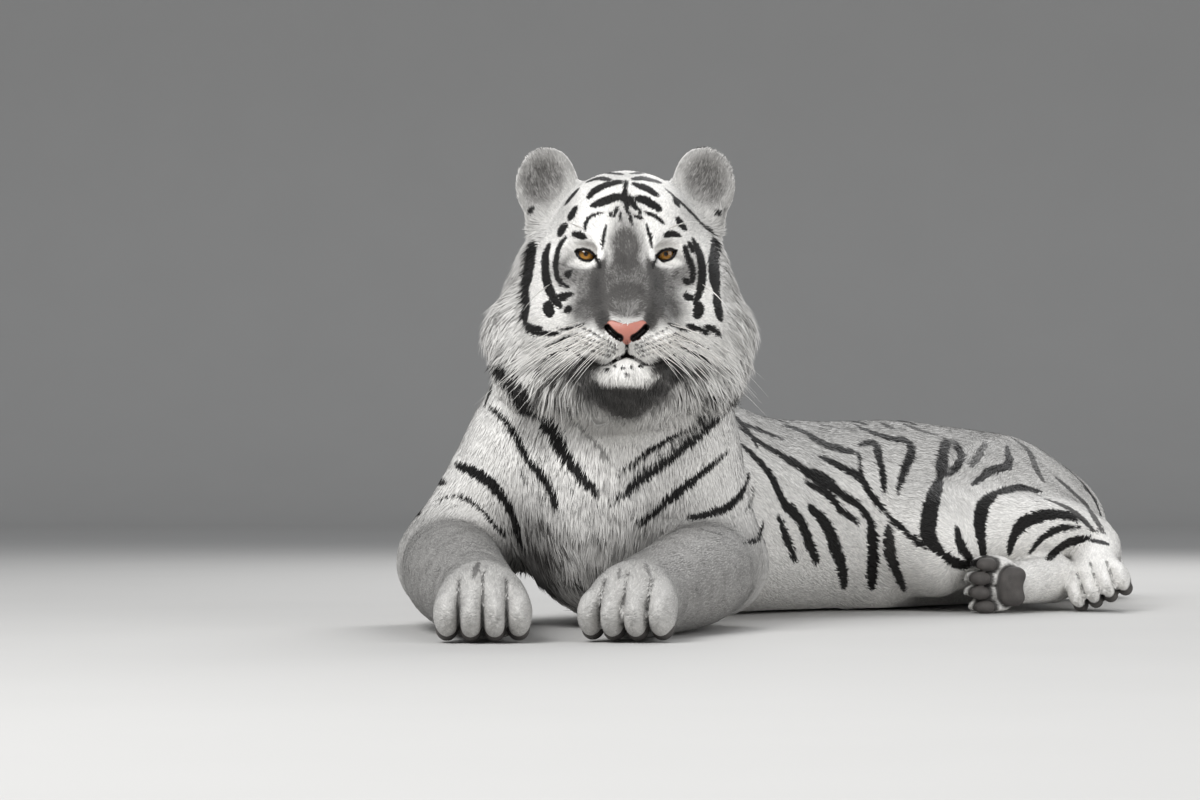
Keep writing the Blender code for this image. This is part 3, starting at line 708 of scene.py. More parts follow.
# ---- Markings. Each mark is a line with the half width of its dark band, in millimetres.
# On the face: across from between the eyes (the tiger's left is +) and above them.
FACE_MARKS = (
    (3.4, (-52, 96), (-36, 101), (-21, 99)),
    (2.6, (-44, 104), (-26, 108), (-5, 106)),
    (3.8, (-50, 75), (-41, 85), (-24, 93), (-6, 97)),
    (4.2, (-45, 65), (-31, 70), (-15, 76), (-6, 77)),
    (1.6, (-54, 31), (-53, 42), (-46, 51), (-29, 57)),
    (3.2, (-70, 28), (-62, 26), (-53, 23)),
    (3.6, (-66, 63), (-71, 54), (-75, 47)),
    (4.0, (-79, 40), (-84, 34), (-87, 27)),
    (2.6, (-62, 88), (-72, 76), (-80, 66)),
    (2.6, (-79, 24), (-88, 10), (-92, -6), (-92, -22), (-86, -36), (-75, -43)),
    (2.2, (-84, 20), (-90, 6)),
    (3.4, (-78, -24), (-75, -26)),
    (1.4, (-70, -18), (-76, -24), (-82, -24)),
    (4.2, (-101, 14), (-106, -4), (-106, -24), (-102, -42), (-95, -57), (-86, -70)),
    (2.6, (-90, -54), (-80, -53), (-70, -52)),
    (3.0, (-86, -58), (-78, -56)),
    (3.4, (-79, -73), (-74, -71)),
    (5.4, (-103, -64), (-102, -72), (-100, -79)),
    (5.6, (-121, 14), (-125, -8), (-128, -26), (-131, -48)),
    (4.6, (-131, -46), (-131, -68), (-135, -90)),
    (2.6, (-137, -88), (-124, -95), (-110, -98)),
    (2.4, (-123, -104), (-108, -104), (-88, -103)),
    (2.0, (-132, -99), (-118, -103)),
    (1.2, (-54, -90), (-70, -96), (-92, -98)),
    (1.2, (-62, -104), (-84, -112), (-106, -123)),
    (1.3, (-66, -117), (-88, -129), (-114, -148)),
    (1.2, (55, -90), (72, -97), (92, -99)),
    (1.2, (64, -105), (86, -114), (108, -125)),
    (1.3, (68, -118), (90, -130), (116, -149)),
    (3.4, (8, 100), (24, 101), (46, 95)),
    (2.6, (5, 107), (24, 108), (42, 103)),
    (3.6, (9, 94), (27, 88), (43, 78)),
    (4.2, (13, 76), (28, 71), (46, 60)),
    (1.9, (25, 57), (39, 51), (51, 41)),
    (3.2, (51, 25), (60, 28), (71, 26)),
    (3.4, (67, 49), (73, 41), (78, 34)),
    (1.8, (52, 87), (80, 62), (104, 36), (118, 26)),
    (2.4, (63, 75), (70, 64)),
    (3.0, (76, 12), (84, -6), (88, -22), (87, -36)),
    (2.6, (82, 18), (90, 2)),
    (4.0, (88, 22), (97, 2), (101, -20), (98, -44), (91, -66)),
    (3.2, (77, -32), (83, -37)),
    (3.8, (78, -54), (87, -58)),
    (5.2, (97, -66), (96, -73), (93, -81)),
    (6.4, (117, 17), (116, -10), (117, -30), (119, -50)),
    (4.8, (119, -48), (121, -66), (124, -86)),
    (2.6, (104, -94), (114, -98), (123, -107)),
    (2.2, (80, -92), (96, -97), (110, -106)),
    (2.4, (0, 98), (-2, 88), (-1, 76), (1, 66), (2, 56)),
    (3.0, (-5, 80), (-4, 72)),
    (2.8, (4, 78), (9, 68), (15, 60)),
    (1.8, (-10, 64), (-14, 58), (-16, 50)),
    (1.6, (12, 52), (18, 50), (23, 48)),
    (1.3, (-20, 58), (-22, 50)),
    (1.3, (3, 60), (7, 48), (9, 40)),
    (1.2, (-7, 56), (-8, 44)),
    (1.2, (18, 62), (20, 52)),
    (1.5, (-26, 40), (-29, 26), (-31, 8)),
    (1.5, (27, 42), (31, 28), (34, 10)),
    (1.0, (2.4, -113), (2.4, -124), (2.4, -133)),
    (1.0, (2, -133), (-10, -137.5), (-22, -142.5), (-37, -142.5), (-52, -135)),
    (1.0, (3, -133), (15, -138), (30, -144), (40, -142.5), (50, -134)),
    (1.4, (-17, -146), (-13, -148)),
    (1.3, (-6, -149), (-2, -150)),
    (1.3, (5, -149), (9, -148)),
    (1.6, (17, -147), (22, -147)),
    (1.2, (-26, -150), (-23, -152)),
    (1.2, (-1, -157), (2, -158)),
    (3.2, (-124, 62), (-126, 56)),
    (2.8, (119, 60), (122, 54)),
)
# Dark dots on the lip, in rows that rise outwards: where a row starts and ends, and how many dots
LIP_ROWS = (
    ((14, -119), (62, -94), 8),
    ((13, -124), (68, -104), 9),
    ((16, -129), (66, -113), 8),
    ((22, -134), (58, -122), 6),
)
# On the breast and upper arms: across the body's middle line and above the floor, sighted from the
# front on an upright board 0.12 m behind the eyes. The last number is how dark the mark is.
BREAST_MARKS = (
    (6.5, 1.0, (-136, 352), (-120, 336), (-94, 303), (-66, 271), (-47, 238), (-26, 206), (-2, 179)),
    (4.2, 1.0, (-150, 300), (-123, 275), (-102, 238), (-76, 202), (-62, 177), (-58, 158)),
    (6.5, 1.0, (-196, 222), (-170, 211), (-141, 191), (-120, 162), (-109, 133), (-97, 106)),
    (2.0, 0.8, (-228, 170), (-196, 179), (-170, 168), (-141, 137), (-112, 107)),
    (2.2, 0.45, (-47, 296), (-22, 271), (3, 238), (10, 224)),
    (2.4, 0.4, (-109, 209), (-94, 195)),
    (2.5, 1.0, (180, 322), (137, 287), (101, 262), (65, 240), (39, 221), (16, 199)),
    (0.8, 0.7, (160, 291), (130, 268), (98, 246), (66, 225), (42, 208)),
    (4.0, 1.0, (172, 294), (148, 273), (118, 247), (86, 222), (54, 200), (30, 180), (12, 165)),
    (1.5, 0.6, (176, 336), (150, 314), (122, 294)),
    (4.4, 1.0, (178, 243), (137, 209), (101, 180), (72, 158), (50, 140)),
    (4.6, 1.0, (201, 211), (192, 184), (170, 162), (137, 152), (114, 147)),
    (2.2, 0.5, (208, 194), (204, 170), (195, 158)),
    (3.6, 0.9, (221, 146), (213, 123), (191, 113)),
    (1.8, 0.5, (124, 139), (166, 126)),
    (2.6, 0.5, (-162, 99), (-171, 66)),
    (1.8, 0.4, (26, 84), (26, 66)),
    (2.2, 0.4, (54, 104), (68, 70)),
)
# On the left flank and haunch, sighted in the same way on a board 0.6 m behind the eyes
FLANK_MARKS = (
    (6.5, 1.0, (206, 262), (252, 213), (276, 169), (305, 133), (317, 96), (327, 78)),
    (4.4, 1.0, (266, 149), (280, 113), (297, 78)),
    (8.5, 1.0, (313, 163), (341, 129), (357, 88), (368, 40)),
    (6.0, 0.9, (208, 281), (240, 257), (280, 233), (317, 209), (349, 189), (389, 161), (405, 141)),
    (3.6, 0.8, (296, 222), (330, 212), (356, 196)),
    (4.6, 0.95, (305, 201), (337, 181), (361, 157), (389, 134)),
    (6.4, 1.0, (329, 235), (361, 221), (389, 205), (405, 181), (429, 153)),
    (3.2, 0.8, (429, 153), (461, 121), (490, 98)),
    (8.5, 1.0, (405, 143), (409, 97), (407, 38)),
    (7.0, 0.75, (433, 131), (437, 89), (457, 34)),
    (3.6, 0.8, (204, 289), (236, 277), (276, 261)),
    (8.0, 0.75, (276, 283), (305, 273), (341, 253), (381, 243)),
    (3.4, 0.6, (329, 284), (369, 276)),
    (2.6, 0.9, (389, 245), (391, 217), (401, 189)),
    (6.2, 0.9, (381, 284), (405, 273), (441, 262), (461, 260), (467, 241), (457, 217), (447, 181)),
    (5.6, 0.95, (387, 253), (413, 257), (419, 233), (425, 205), (426, 182)),
    (4.0, 0.7, (417, 288), (445, 276)),
    (3.6, 0.7, (437, 292), (477, 277), (510, 266)),
    (7.5, 0.9, (520, 262), (514, 233), (511, 205)),
    (10.5, 1.0, (511, 205), (497, 161), (493, 121), (510, 92)),
    (6.0, 1.0, (510, 92), (542, 74), (568, 80)),
    (5.0, 0.85, (534, 261), (541, 233), (524, 206)),
    (5.4, 1.0, (534, 131), (542, 100), (558, 80)),
    (5.0, 0.6, (582, 262), (566, 237), (556, 219)),
    (6.2, 0.75, (610, 254), (612, 225), (586, 215), (558, 193)),
    (6.5, 0.9, (662, 183), (628, 189), (592, 181)),
    (9.0, 1.0, (592, 181), (574, 161), (570, 129), (576, 84)),
    (8.0, 1.0, (716, 143), (682, 151), (642, 141), (622, 121), (613, 92)),
    (4.6, 1.0, (720, 130), (686, 128), (658, 109), (645, 92)),
    (6.4, 1.0, (732, 115), (698, 105), (668, 82)),
    (4.6, 1.0, (762, 106), (734, 111)),
    (6.0, 0.6, (622, 262), (642, 245), (654, 217), (667, 196)),
    (4.6, 0.7, (666, 173), (698, 161), (722, 145), (744, 120)),
    (6.0, 0.65, (682, 206), (706, 185), (734, 157), (756, 120)),
    (4.2, 0.6, (722, 192), (736, 180), (746, 168)),
)
# Round the trunk: the station, the angle from the spine where a band starts and ends (the left side
# is +), its half width and its darkness
RINGS = (
    (1.5, -6, -95, 6, 0.9),
    (3.4, 4, -120, 8, 1.0),
    (4.3, -30, -88, 4, 0.9),
    (5.2, -10, -100, 7, 1.0),
    (7.0, 10, -130, 9, 1.0),
    (7.7, -22, -84, 4, 0.9),
    (8.8, -4, -110, 8, 1.0),
    (10.4, 15, -125, 9, 1.0),
    (12.0, 2, -90, 6, 0.9),
    (13.4, 23, -130, 10, 1.0),
    (14.2, -14, -80, 5, 0.9),
    (15.2, 12, -115, 8, 1.0),
    (16.8, 35, -128, 9, 1.0),
    (18.6, 24, -100, 7, 0.9),
    (20.2, 46, -120, 10, 1.0),
    (21.0, 12, -84, 5, 0.9),
    (22.0, 34, -110, 8, 1.0),
    (23.8, 56, -120, 9, 0.9),
    (25.6, 46, -100, 8, 0.9),
    (27.4, 62, -110, 8, 0.8),
    (29.2, 56, -95, 7, 0.8),
)
# Rings round the tail: how far along it, from 0 to 1, and half width
TAIL_RINGS = (
    (0.16, 7),
    (0.27, 8),
    (0.38, 9),
    (0.48, 10),
    (0.58, 11),
    (0.68, 11),
    (0.78, 12),
    (0.88, 13),
    (0.98, 34),
)
# At the back of the head and neck, seen from above: across from the middle line and behind the eyes
CROWN_MARKS = (
    (3.0, (-52, 96), (-20, 90), (-3, 92)),
    (3.0, (4, 92), (22, 89), (54, 98)),
    (4.0, (-66, 128), (-30, 116), (-3, 122)),
    (4.0, (3, 122), (32, 114), (68, 128)),
    (5.0, (-86, 168), (-40, 150), (-6, 158)),
    (5.0, (5, 158), (44, 148), (88, 166)),
    (6.0, (-104, 212), (-52, 194), (-8, 204)),
    (6.0, (6, 204), (50, 192), (104, 208)),
    (6.5, (-124, 262), (-60, 244), (-8, 256)),
    (6.5, (8, 256), (62, 242), (122, 258)),
    (6.5, (-134, 316), (-64, 300), (-10, 312)),
    (6.5, (10, 310), (66, 298), (130, 312)),
    (6.5, (-130, 372), (-60, 360), (-6, 372)),
)
# At the sides, seen square on: the side, the half width, then ahead of the eyes and above the floor
SIDE_MARKS = (
    (-1, 5.0, (-120, 520), (-100, 440), (-92, 380)),
    (-1, 5.5, (-168, 490), (-160, 420), (-140, 350)),
    (-1, 5.0, (-226, 430), (-214, 360), (-186, 300)),
    (-1, 5.0, (-286, 400), (-270, 330), (-240, 270)),
    (-1, 5.5, (-350, 380), (-340, 310), (-318, 240)),
    (-1, 4.5, (-300, 220), (-250, 200), (-200, 196)),
    (-1, 4.5, (-330, 160), (-280, 150), (-230, 154)),
    (1, 5.0, (-130, 512), (-112, 440), (-102, 385)),
    (1, 5.5, (-178, 482), (-170, 410), (-150, 352)),
    (1, 5.0, (-236, 440), (-226, 370), (-202, 312)),
    (1, 5.0, (-294, 405), (-284, 335), (-262, 284)),
    (1, 5.5, (-350, 374), (-350, 312), (-330, 252)),
    (1, 5.5, (-396, 352), (-402, 290), (-386, 225), (-356, 172)),
    (1, 4.5, (-322, 240), (-334, 200), (-322, 156)),
    (1, 5.5, (-446, 340), (-456, 290), (-450, 246)),
    (1, 6.5, (-1040, 266), (-1014, 206), (-1004, 150), (-1018, 96)),
    (1, 6.0, (-1094, 246), (-1068, 190), (-1060, 140), (-1076, 88)),
    (1, 5.5, (-1142, 214), (-1120, 165), (-1114, 118), (-1128, 72)),
    (1, 5.0, (-1190, 178), (-1172, 136), (-1170, 96), (-1182, 60)),
    (1, 4.5, (-1236, 132), (-1224, 98), (-1226, 66)),
)
OVER_SPINE = 22  # how many degrees further over the back each band starts
FAINT = -0.03  # the ink of a place far from any mark
FACE_DEPTH = 0.35  # how much the way to the back counts in the width of a mark on the face
BODY_DEPTH = 0.8  # and on the body
# Grey shade on the face: middle across (alike on both sides) and above the eyes, half width, half
# height, strength, and how softly it ends, in millimetres
FACE_SHADES = (
    (0, 46, 20, 26, 0.60, 26),
    (0, 10, 24, 34, 1.00, 18),
    (0, -30, 32, 36, 0.92, 16),
    (0, -60, 34, 28, 0.98, 14),
    (46, -44, 28, 36, 0.86, 24),
    (52, -72, 26, 22, 0.88, 20),
    (33, -14, 9, 20, 1.30, 14),
    (39, -38, 11, 26, 1.48, 20),
    (36, -66, 11, 22, 1.42, 20),
    (32, -84, 9, 14, 1.70, 10),
    (76, -22, 22, 24, 0.84, 20),
    (50, -144, 12, 10, 1.80, 10),
    (56, -154, 26, 15, 1.62, 16),
    (94, -155, 36, 13, 0.86, 22),
    # The next three rows, under the chin, are the beard's dark hair together with painted shadow under the
    # chin.
    (0, -186, 50, 20, 1.62, 16),
    (0, -199, 27, 16, 1.42, 12),
    (34, -176, 22, 14, 1.55, 14),
    # The last two rows, at the temples and across the crown, are painted shade that darkens the top of the
    # head.
    (92, 64, 24, 36, 0.34, 26),
    (0, 108, 70, 10, 0.26, 14),
)
WHITE_PATCHES = (
    (38, 30, 13, 26, 1.0, 5),
    (55, 13, 22, 9, 1.0, 4),
    (36, 4, 7, 12, 1.0, 4),
    (56, -10.5, 18, 6.5, 1.0, 4),
    (92, -86, 20, 9, 0.6, 6),
    (1, -160, 45, 15, 1.0, 8),
    (0, -84, 18, 4, 0.30, 5),
    (0, -62, 15, 22, 0.10, 14),
    (34, -118, 34, 15, 1.0, 7),
)


def laid_on(tree, starts, ways):
    """Where lines from starts along ways first meet the skin, and which of them do."""
    hits = [tree.ray_cast(Vector(start), Vector(way).normalized()) for start, way in zip(starts, ways)]
    met = np.array([hit[0] is not None for hit in hits])
    places = np.array([hit[0] if hit[0] is not None else (0, 0, 0) for hit in hits])
    return places, met


def drawn(points, half_width, step=0.003):
    """Places close together on a smooth line through points given in millimetres, and the half width of
    the mark at each, slim at its ends."""
    points = np.array(points) * 0.001
    long = np.linalg.norm(np.diff(points, axis=0), axis=1).sum()
    count = max(int(long / step), 6)
    t = np.linspace(0, 1, count)
    if len(points) > 2:
        line = smooth_rows(points, count)
    else:
        line = points[0] + (points[1] - points[0]) * t[:, None]
    return line, half_width * (0.35 + 0.65 * np.sin(np.pi * t) ** 0.5)


def rows_at(rows, places):
    """Rows in between those given, at places counted in rows."""
    return np.stack([np.interp(places, np.arange(len(rows)), column) for column in rows.T], 1)


def sighted_line(origin, line):
    """Sight lines from SIGHTED_FROM to a flat line on an upright board at origin: starts and ways."""
    board = np.asarray(origin) + np.stack([line[:, 0], 0 * line[:, 0], line[:, 1]], 1)
    return np.tile(SIGHTED_FROM, (len(board), 1)), board - SIGHTED_FROM


# Each of the next functions gives marks as starts and ways of lines that run to the skin, half widths,
# darkness, and how much depth counts in the width.
def face_marks():
    for half, *points in FACE_MARKS:
        line, widths = drawn(points, half * 0.0014 + 0.0003, 0.002)
        yield *sighted_line(BROW, line), widths, 1.0, FACE_DEPTH
    for start, end, count in LIP_ROWS:
        for side in (-1, 1):
            for t in np.linspace(0, 1, count):
                u, v = np.array(start) * (1 - t) + np.array(end) * t
                dash = np.array(((u - 1.8, v - 0.6), (u, v), (u + 1.8, v + 0.7))) * 0.001
                yield *sighted_line(BROW, dash * (side, 1)), np.full(3, 0.0013), 0.9, 1.0


def front_marks():
    for marks, board in ((BREAST_MARKS, 0.12), (FLANK_MARKS, 0.60)):
        for half, dark, *points in marks:
            line, widths = drawn(points, half * 0.00108 + 0.0010)
            yield *sighted_line((0, board, 0), line), widths, min(dark * 1.3, 1), BODY_DEPTH


def crown_marks():
    for half, *points in CROWN_MARKS:
        line, widths = drawn(points, half * 0.001)
        starts = BROW + np.stack([line[:, 0], line[:, 1], np.full(len(line), 0.5)], 1)
        yield starts, np.tile((0, 0, -1.0), (len(line), 1)), widths, 1.0, 1.0


def side_marks():
    for side, half, *points in SIDE_MARKS:
        line, widths = drawn(points, half * 0.0012)
        starts = np.stack([np.full(len(line), side * 1.2), -line[:, 0], line[:, 1]], 1)
        yield starts, np.tile((-side, 0, 0), (len(line), 1)), widths, 1.0, 1.0


def trunk_rings():
    middle, _, left, spine = FRAMES[:4]
    for i, (station, start, end, half, dark) in enumerate(RINGS):
        turn = np.radians(np.linspace(start + OVER_SPINE, end, 60))
        at = station + 0.5 * np.sin(3 * turn + i)
        widths = half * 0.0012 * (0.35 + 0.65 * np.sin(np.linspace(0.1, math.pi, 60)) ** 0.5)
        place, to_left, to_spine = (rows_at(frames, at) for frames in (middle, left, spine))
        out = to_left * np.sin(turn)[:, None] + to_spine * np.cos(turn)[:, None]
        yield place + 0.6 * out, -out, widths, dark, 1.0


def tail_rings():
    rows = smooth_rows(TAIL, 60)[:, :3]
    turn = np.linspace(-math.pi, math.pi, 40)
    for along, half in TAIL_RINGS:
        index = int(along * 59)
        way = unit(rows[index + 1] - rows[index])
        side = unit(np.cross(way, (0, 0, 1)))
        out = np.cos(turn)[:, None] * np.cross(side, way) + np.sin(turn)[:, None] * side
        yield rows[index] + 0.2 * out, -out, np.full(40, half * 0.001), 1.0, 1.0


def mark_lines(tree):
    """Every mark as (places on the skin, half widths, darkness, how much depth counts in its width)."""
    made = []
    for marks in (face_marks, front_marks, crown_marks, side_marks, trunk_rings, tail_rings):
        for starts, ways, widths, dark, depth in marks():
            places, met = laid_on(tree, starts, ways)
            if met.sum() > 2:
                made.append((places[met], widths[met], dark, depth))
    return made


def marked(points, lines):
    """How far inside a mark each point is (less than nought outside), and how dark that mark is."""
    ink = np.full(len(points), FAINT)
    dark = np.zeros(len(points))
    for places, widths, strength, depth in lines:
        low, high = places.min(0) + FAINT, places.max(0) - FAINT
        near = np.nonzero(((points > low) & (points < high)).all(1))[0]
        for start in range(0, len(near), 4000):
            some = near[start : start + 4000]
            far = np.linalg.norm((points[some, None] - places[None]) * (1, depth, 1), axis=2)
            inside = (widths - far).max(1)
            better = inside > ink[some]
            ink[some] = np.where(better, inside, ink[some])
            dark[some] = np.where(better, strength, dark[some])
    return ink, dark


def soft_oval(u, v, row):
    """How much of a shade is at places u across and v up, for a row of FACE_SHADES."""
    middle_u, middle_v, half_u, half_v, strength, soft = row
    far = np.hypot((u - middle_u) / half_u, (v - middle_v) / half_v) - 1
    return strength * np.clip(0.5 - far * min(half_u, half_v) / soft, 0, 1)


def between_forelegs(points):
    """How much each point belongs to the foot of the breast, between the forelegs, where painted shade is
    laid on the coat.
    """
    return np.clip((0.22 - points[:, 2]) / 0.15, 0, 1) * np.clip((0.30 - points[:, 1]) / 0.08, 0, 1)


def face_shade(q):
    """Grey of the face alone, for points q in head co-ordinates, with painted shadow under the chin and
    painted shade on the crown.
    """
    front = np.clip((q[:, 1] + 0.075) / 0.02, 0, 1) * (np.linalg.norm(q, axis=1) < 0.27)
    u, v = (1000 * part for part in sighted(q))
    grey = np.zeros(len(q))
    for row in FACE_SHADES:
        grey = (grey**4 + soft_oval(u, v, row) ** 4) ** 0.25
    white = np.zeros(len(q))
    for row in WHITE_PATCHES:
        white = np.maximum(white, soft_oval(u, v, row))
    return grey * (1 - np.clip(white, 0, 1)) * front


def shade_of(points, normals, found):
    """Grey from 0 (white) to 1 at each point of the skin: the coat's own grey, with painted shade inside the
    ears' cups, on the upward-facing back, haunches and tail, between the forelegs, and in face_shade.
    """
    q = head_places(points)
    share = shares(found)
    # Inside the ear: the ear's own grey, deepened towards the hollow of its cup as painted shade.
    hollow = np.linalg.norm((q - EAR_MIDDLE) * (1, 0.2, 0.85), axis=1)
    ear_grey_and_cup_shade = share["ear"] * np.clip(-normals[:, 1] * 2, 0, 1)
    ear_grey_and_cup_shade = ear_grey_and_cup_shade * (0.70 + 0.30 * np.clip((0.036 - hollow) / 0.016, 0, 1))
    # Where the back, haunches and tail face up they are greyed: partly the coat's own greyer back, partly
    # painted shade darkening the top.
    back = share["trunk"] + share["thigh_left"] + share["hamstring"] + share["thigh_right"]
    upward = np.clip((normals[:, 2] - 0.25) / 0.6, 0, 1)
    legs = share["foreleg_right"] + share["foreleg_left"]
    legs = legs + 0.6 * (share["forepaw_right"] + share["forepaw_left"])
    # Painted shade between the forelegs, deepest on the right beside the right foreleg and on the inner side
    # of the right upper arm.
    beside = np.clip((-0.040 - points[:, 0]) / 0.035, 0, 1)
    low = share["trunk"] + 0.4 * share["upper_arm_right"] * np.clip(normals[:, 0] * 3, 0, 1)
    under = (0.45 + 0.65 * beside) * between_forelegs(points) * low
    off_pads = np.minimum(pad_form(points, "hind_foot_right"), pad_form(points, "hind_foot_left"))
    soles = np.clip(1 - (off_pads - 0.0015) / 0.005, 0, 1)
    high_ruff = share["ruff"] * (0.20 + 0.20 * np.clip((q[:, 2] + 0.10) / 0.06, 0, 1))
    body = (0.58 * back + 0.34 * share["tail"]) * upward + 0.70 * legs + high_ruff + under + 1.35 * soles
    return np.clip(np.maximum(face_shade(q), np.maximum(ear_grey_and_cup_shade, body)), 0, 1.6)


def ear_back(points, normals, found):
    """How far inside the dark back of an ear each point is, with a white spot left in its middle."""
    q = head_places(points)
    behind = shares(found)["ear"] * np.clip(normals[:, 1] * 3, 0, 1)
    spot = np.linalg.norm((q - EAR_MIDDLE) * (1, 0.3, 1), axis=1)
    return np.where((behind > 0.4) & (spot > 0.019), 0.004, FAINT)


def toe_places(points, name):
    """Places in a foot's own directions, for a foot of the largest size, and how far each is from a cleft."""
    ball, toes, sole, width = FOOT[name]
    q = foot_places(points, ball, toes, sole) / (width / WHOLE_FOOT)
    cleft = np.abs(np.abs(q[:, :1]) - np.array((0, TOE_SPACING))).min(1)
    return q, np.where((np.abs(q) < 0.085).all(1) & (q[:, 1] > 0.022), cleft, 1.0)


def cleft_shade(points):
    """How far inside the painted shade of the clefts between the toes each point is."""
    inside = [
        (0.0026 if name.startswith("hind") else 0.0021) - toe_places(points, name)[1]
        for name in FOOT
    ]
    return np.max(inside, axis=0).clip(FAINT)


# ---- The lie of the coat
NOSE_TIP = np.array((0.0, 0.150, -0.085))  # the face's hair runs away from here


def limb_way(p, joints):
    """The way along a limb at the place nearest each point."""
    rows = smooth_rows(joints, 4 * (len(joints) - 1) + 1)[:, :3]
    ways = np.gradient(rows, axis=0)
    ways /= np.linalg.norm(ways, axis=1)[:, None]
    nearest = ((p[:, None] - rows[None]) ** 2).sum(2).argmin(1)
    return ways[nearest]


def unit_rows(v):
    return v / np.maximum(np.linalg.norm(v, axis=1), 1e-9)[:, None]


def lie_of(points, normals, found):
    """The way the hair lies at each point of the skin, along the skin."""
    q = head_places(points)
    side = np.sign(points[:, 0] - BROW[0])[:, None]

    def both(way):
        """Ways in head co-ordinates, turned for the half of the head that each point is on."""
        way = np.broadcast_to(way, points.shape)
        return np.concatenate([side * way[:, :1], -way[:, 1:2], way[:, 2:]], 1)

    place, _ = along_trunk(points)
    index = np.clip(np.round(place).astype(int), 0, len(FRAMES[0]) - 1)
    front = breast_share(points)[:, None]
    down = np.array((0.0, -0.1, -1.0))
    ways = {"trunk": (FRAMES[1][index] - 0.55 * FRAMES[3][index]) * (1 - front) + front * down}
    facing = np.clip(-normals[:, 1:2] * 1.5, 0, 1)
    ways["neck"] = facing * (down + both((0.15, 0, 0))) + (1 - facing) * np.array((0, 0.75, -0.55))
    ways["head"] = both(unit_rows(q - NOSE_TIP) + np.array((0.0, 0.0, -0.10)))
    ways["ruff"] = both((0.50, -0.10, -1.0))
    ways["ear"] = both((0.35, -0.1, 0.95))
    for name, (joints, _, _) in LIMBS.items():
        ways[name] = limb_way(points, joints)
    for name, (_, toes, _, _) in FOOT.items():
        ways[name] = np.tile(unit(toes), (len(points), 1))
    made = 0
    for name, share in shares(found).items():
        made = made + share[:, None] * unit_rows(np.broadcast_to(ways[name], points.shape))
    made = made - (made * normals).sum(1)[:, None] * normals
    return unit_rows(made)


# ---- Meshes
HOME = sum((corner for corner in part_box("eye_left")), Vector()) / 2 - Vector(
    BROW + np.array((EYE_SPREAD / 2, EYE_SET_BACK, 0))
)  # from the co-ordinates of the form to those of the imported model


def new_mesh(name, points, *faces):
    """A mesh object from points and arrays of faces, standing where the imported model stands."""
    mesh = bpy.data.meshes.new(name)
    mesh.vertices.add(len(points))
    mesh.vertices.foreach_set("co", (points + np.array(HOME)).astype(np.float32).ravel())
    faces = [rows for rows in faces if len(rows)]
    corners = np.concatenate([rows.ravel() for rows in faces])
    sizes = np.concatenate([np.full(len(rows), rows.shape[1]) for rows in faces])
    mesh.loops.add(len(corners))
    mesh.loops.foreach_set("vertex_index", corners.astype(np.int32))
    mesh.polygons.add(len(sizes))
    mesh.polygons.foreach_set("loop_start", np.concatenate([[0], np.cumsum(sizes)[:-1]]).astype(np.int32))
    mesh.update(calc_edges=True)
    mesh.validate()
    mesh.shade_smooth()
    made = bpy.data.objects.new(name, mesh)
    bpy.context.scene.collection.objects.link(made)
    return made


def give(made, name, values, kind="FLOAT"):
    """Stores one value per point on a mesh."""
    layer = made.data.attributes.new(name, kind, "POINT")
    part = "vector" if kind == "FLOAT_VECTOR" else "value"
    layer.data.foreach_set(part, np.asarray(values, np.float32).ravel())


def read(made, name, width=1):
    """Values stored at the points of a mesh, one or three at each."""
    found = np.empty(len(made.data.vertices) * width, np.float32)
    made.data.attributes[name].data.foreach_get("vector" if width == 3 else "value", found)
    return found.reshape(-1, width).astype(float) if width > 1 else found.astype(float)


def wear(made, slot_name, *materials):
    """Gives a piece its materials and the body that it rides on. slot_name is not used."""
    for material in materials:
        made.data.materials.append(material)
    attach(made, "root")


# ---- Materials
# The deep shade is also the colour of the painted shade between the forelegs and of the painted shadow under
# the chin, where grey goes past 1.
DEEP_SHADE = "1E1D1C"  # of the hair where grey is more than 1: under the chin, at the lips, on the soles


def add(tree, kind, settings=None, inputs=None):
    """Adds a node, with its settings, and its inputs as values or as sockets to link from."""
    made = tree.nodes.new(kind)
    for name, value in (settings or {}).items():
        setattr(made, name, value)
    for name, value in (inputs or {}).items():
        if isinstance(value, bpy.types.NodeSocket):
            tree.links.new(value, made.inputs[name])
        else:
            made.inputs[name].default_value = value
    return made


def surface(name, roughness, specular=0.5, ior=1.5, **constants):
    """A new material with one Principled shader. constants are that shader's other sockets."""
    material = bpy.data.materials.new(name)
    material.use_nodes = True
    shader = material.node_tree.nodes["Principled BSDF"]
    shader.inputs["Roughness"].default_value = roughness
    shader.inputs["Specular IOR Level"].default_value = specular
    shader.inputs["IOR"].default_value = ior
    for socket, value in constants.items():
        shader.inputs[socket.replace("_", " ")].default_value = value
    return material, material.node_tree, shader


def rgba(colour):
    return (*colour, 1.0)


def mixed(tree, share, one, two):
    made = add(tree, "ShaderNodeMix", {"data_type": "RGBA", "clamp_factor": True}, {0: share})
    for socket, value in ((6, one), (7, two)):
        if isinstance(value, bpy.types.NodeSocket):
            tree.links.new(value, made.inputs[socket])
        else:
            made.inputs[socket].default_value = rgba(value)
    return made.outputs[2]


def maths(tree, way, one, two, three=None):
    inputs = {0: one, 1: two} if three is None else {0: one, 1: two, 2: three}
    return add(tree, "ShaderNodeMath", {"operation": way}, inputs).outputs[0]


def place_of(tree):
    return add(tree, "ShaderNodeTexCoord").outputs["Object"]


def noise(tree, place, scale, detail):
    inputs = {"Vector": place, "Scale": scale, "Detail": detail}
    return add(tree, "ShaderNodeTexNoise", None, inputs).outputs["Fac"]


def ramp(tree, value, low, high):
    """A value taken from 0 at low to 1 at high."""
    inputs = {"Value": value, "From Min": low, "From Max": high}
    return add(tree, "ShaderNodeMapRange", None, inputs).outputs[0]


def coloured(tree, shader, tint):
    tree.links.new(tint, shader.inputs["Base Color"])


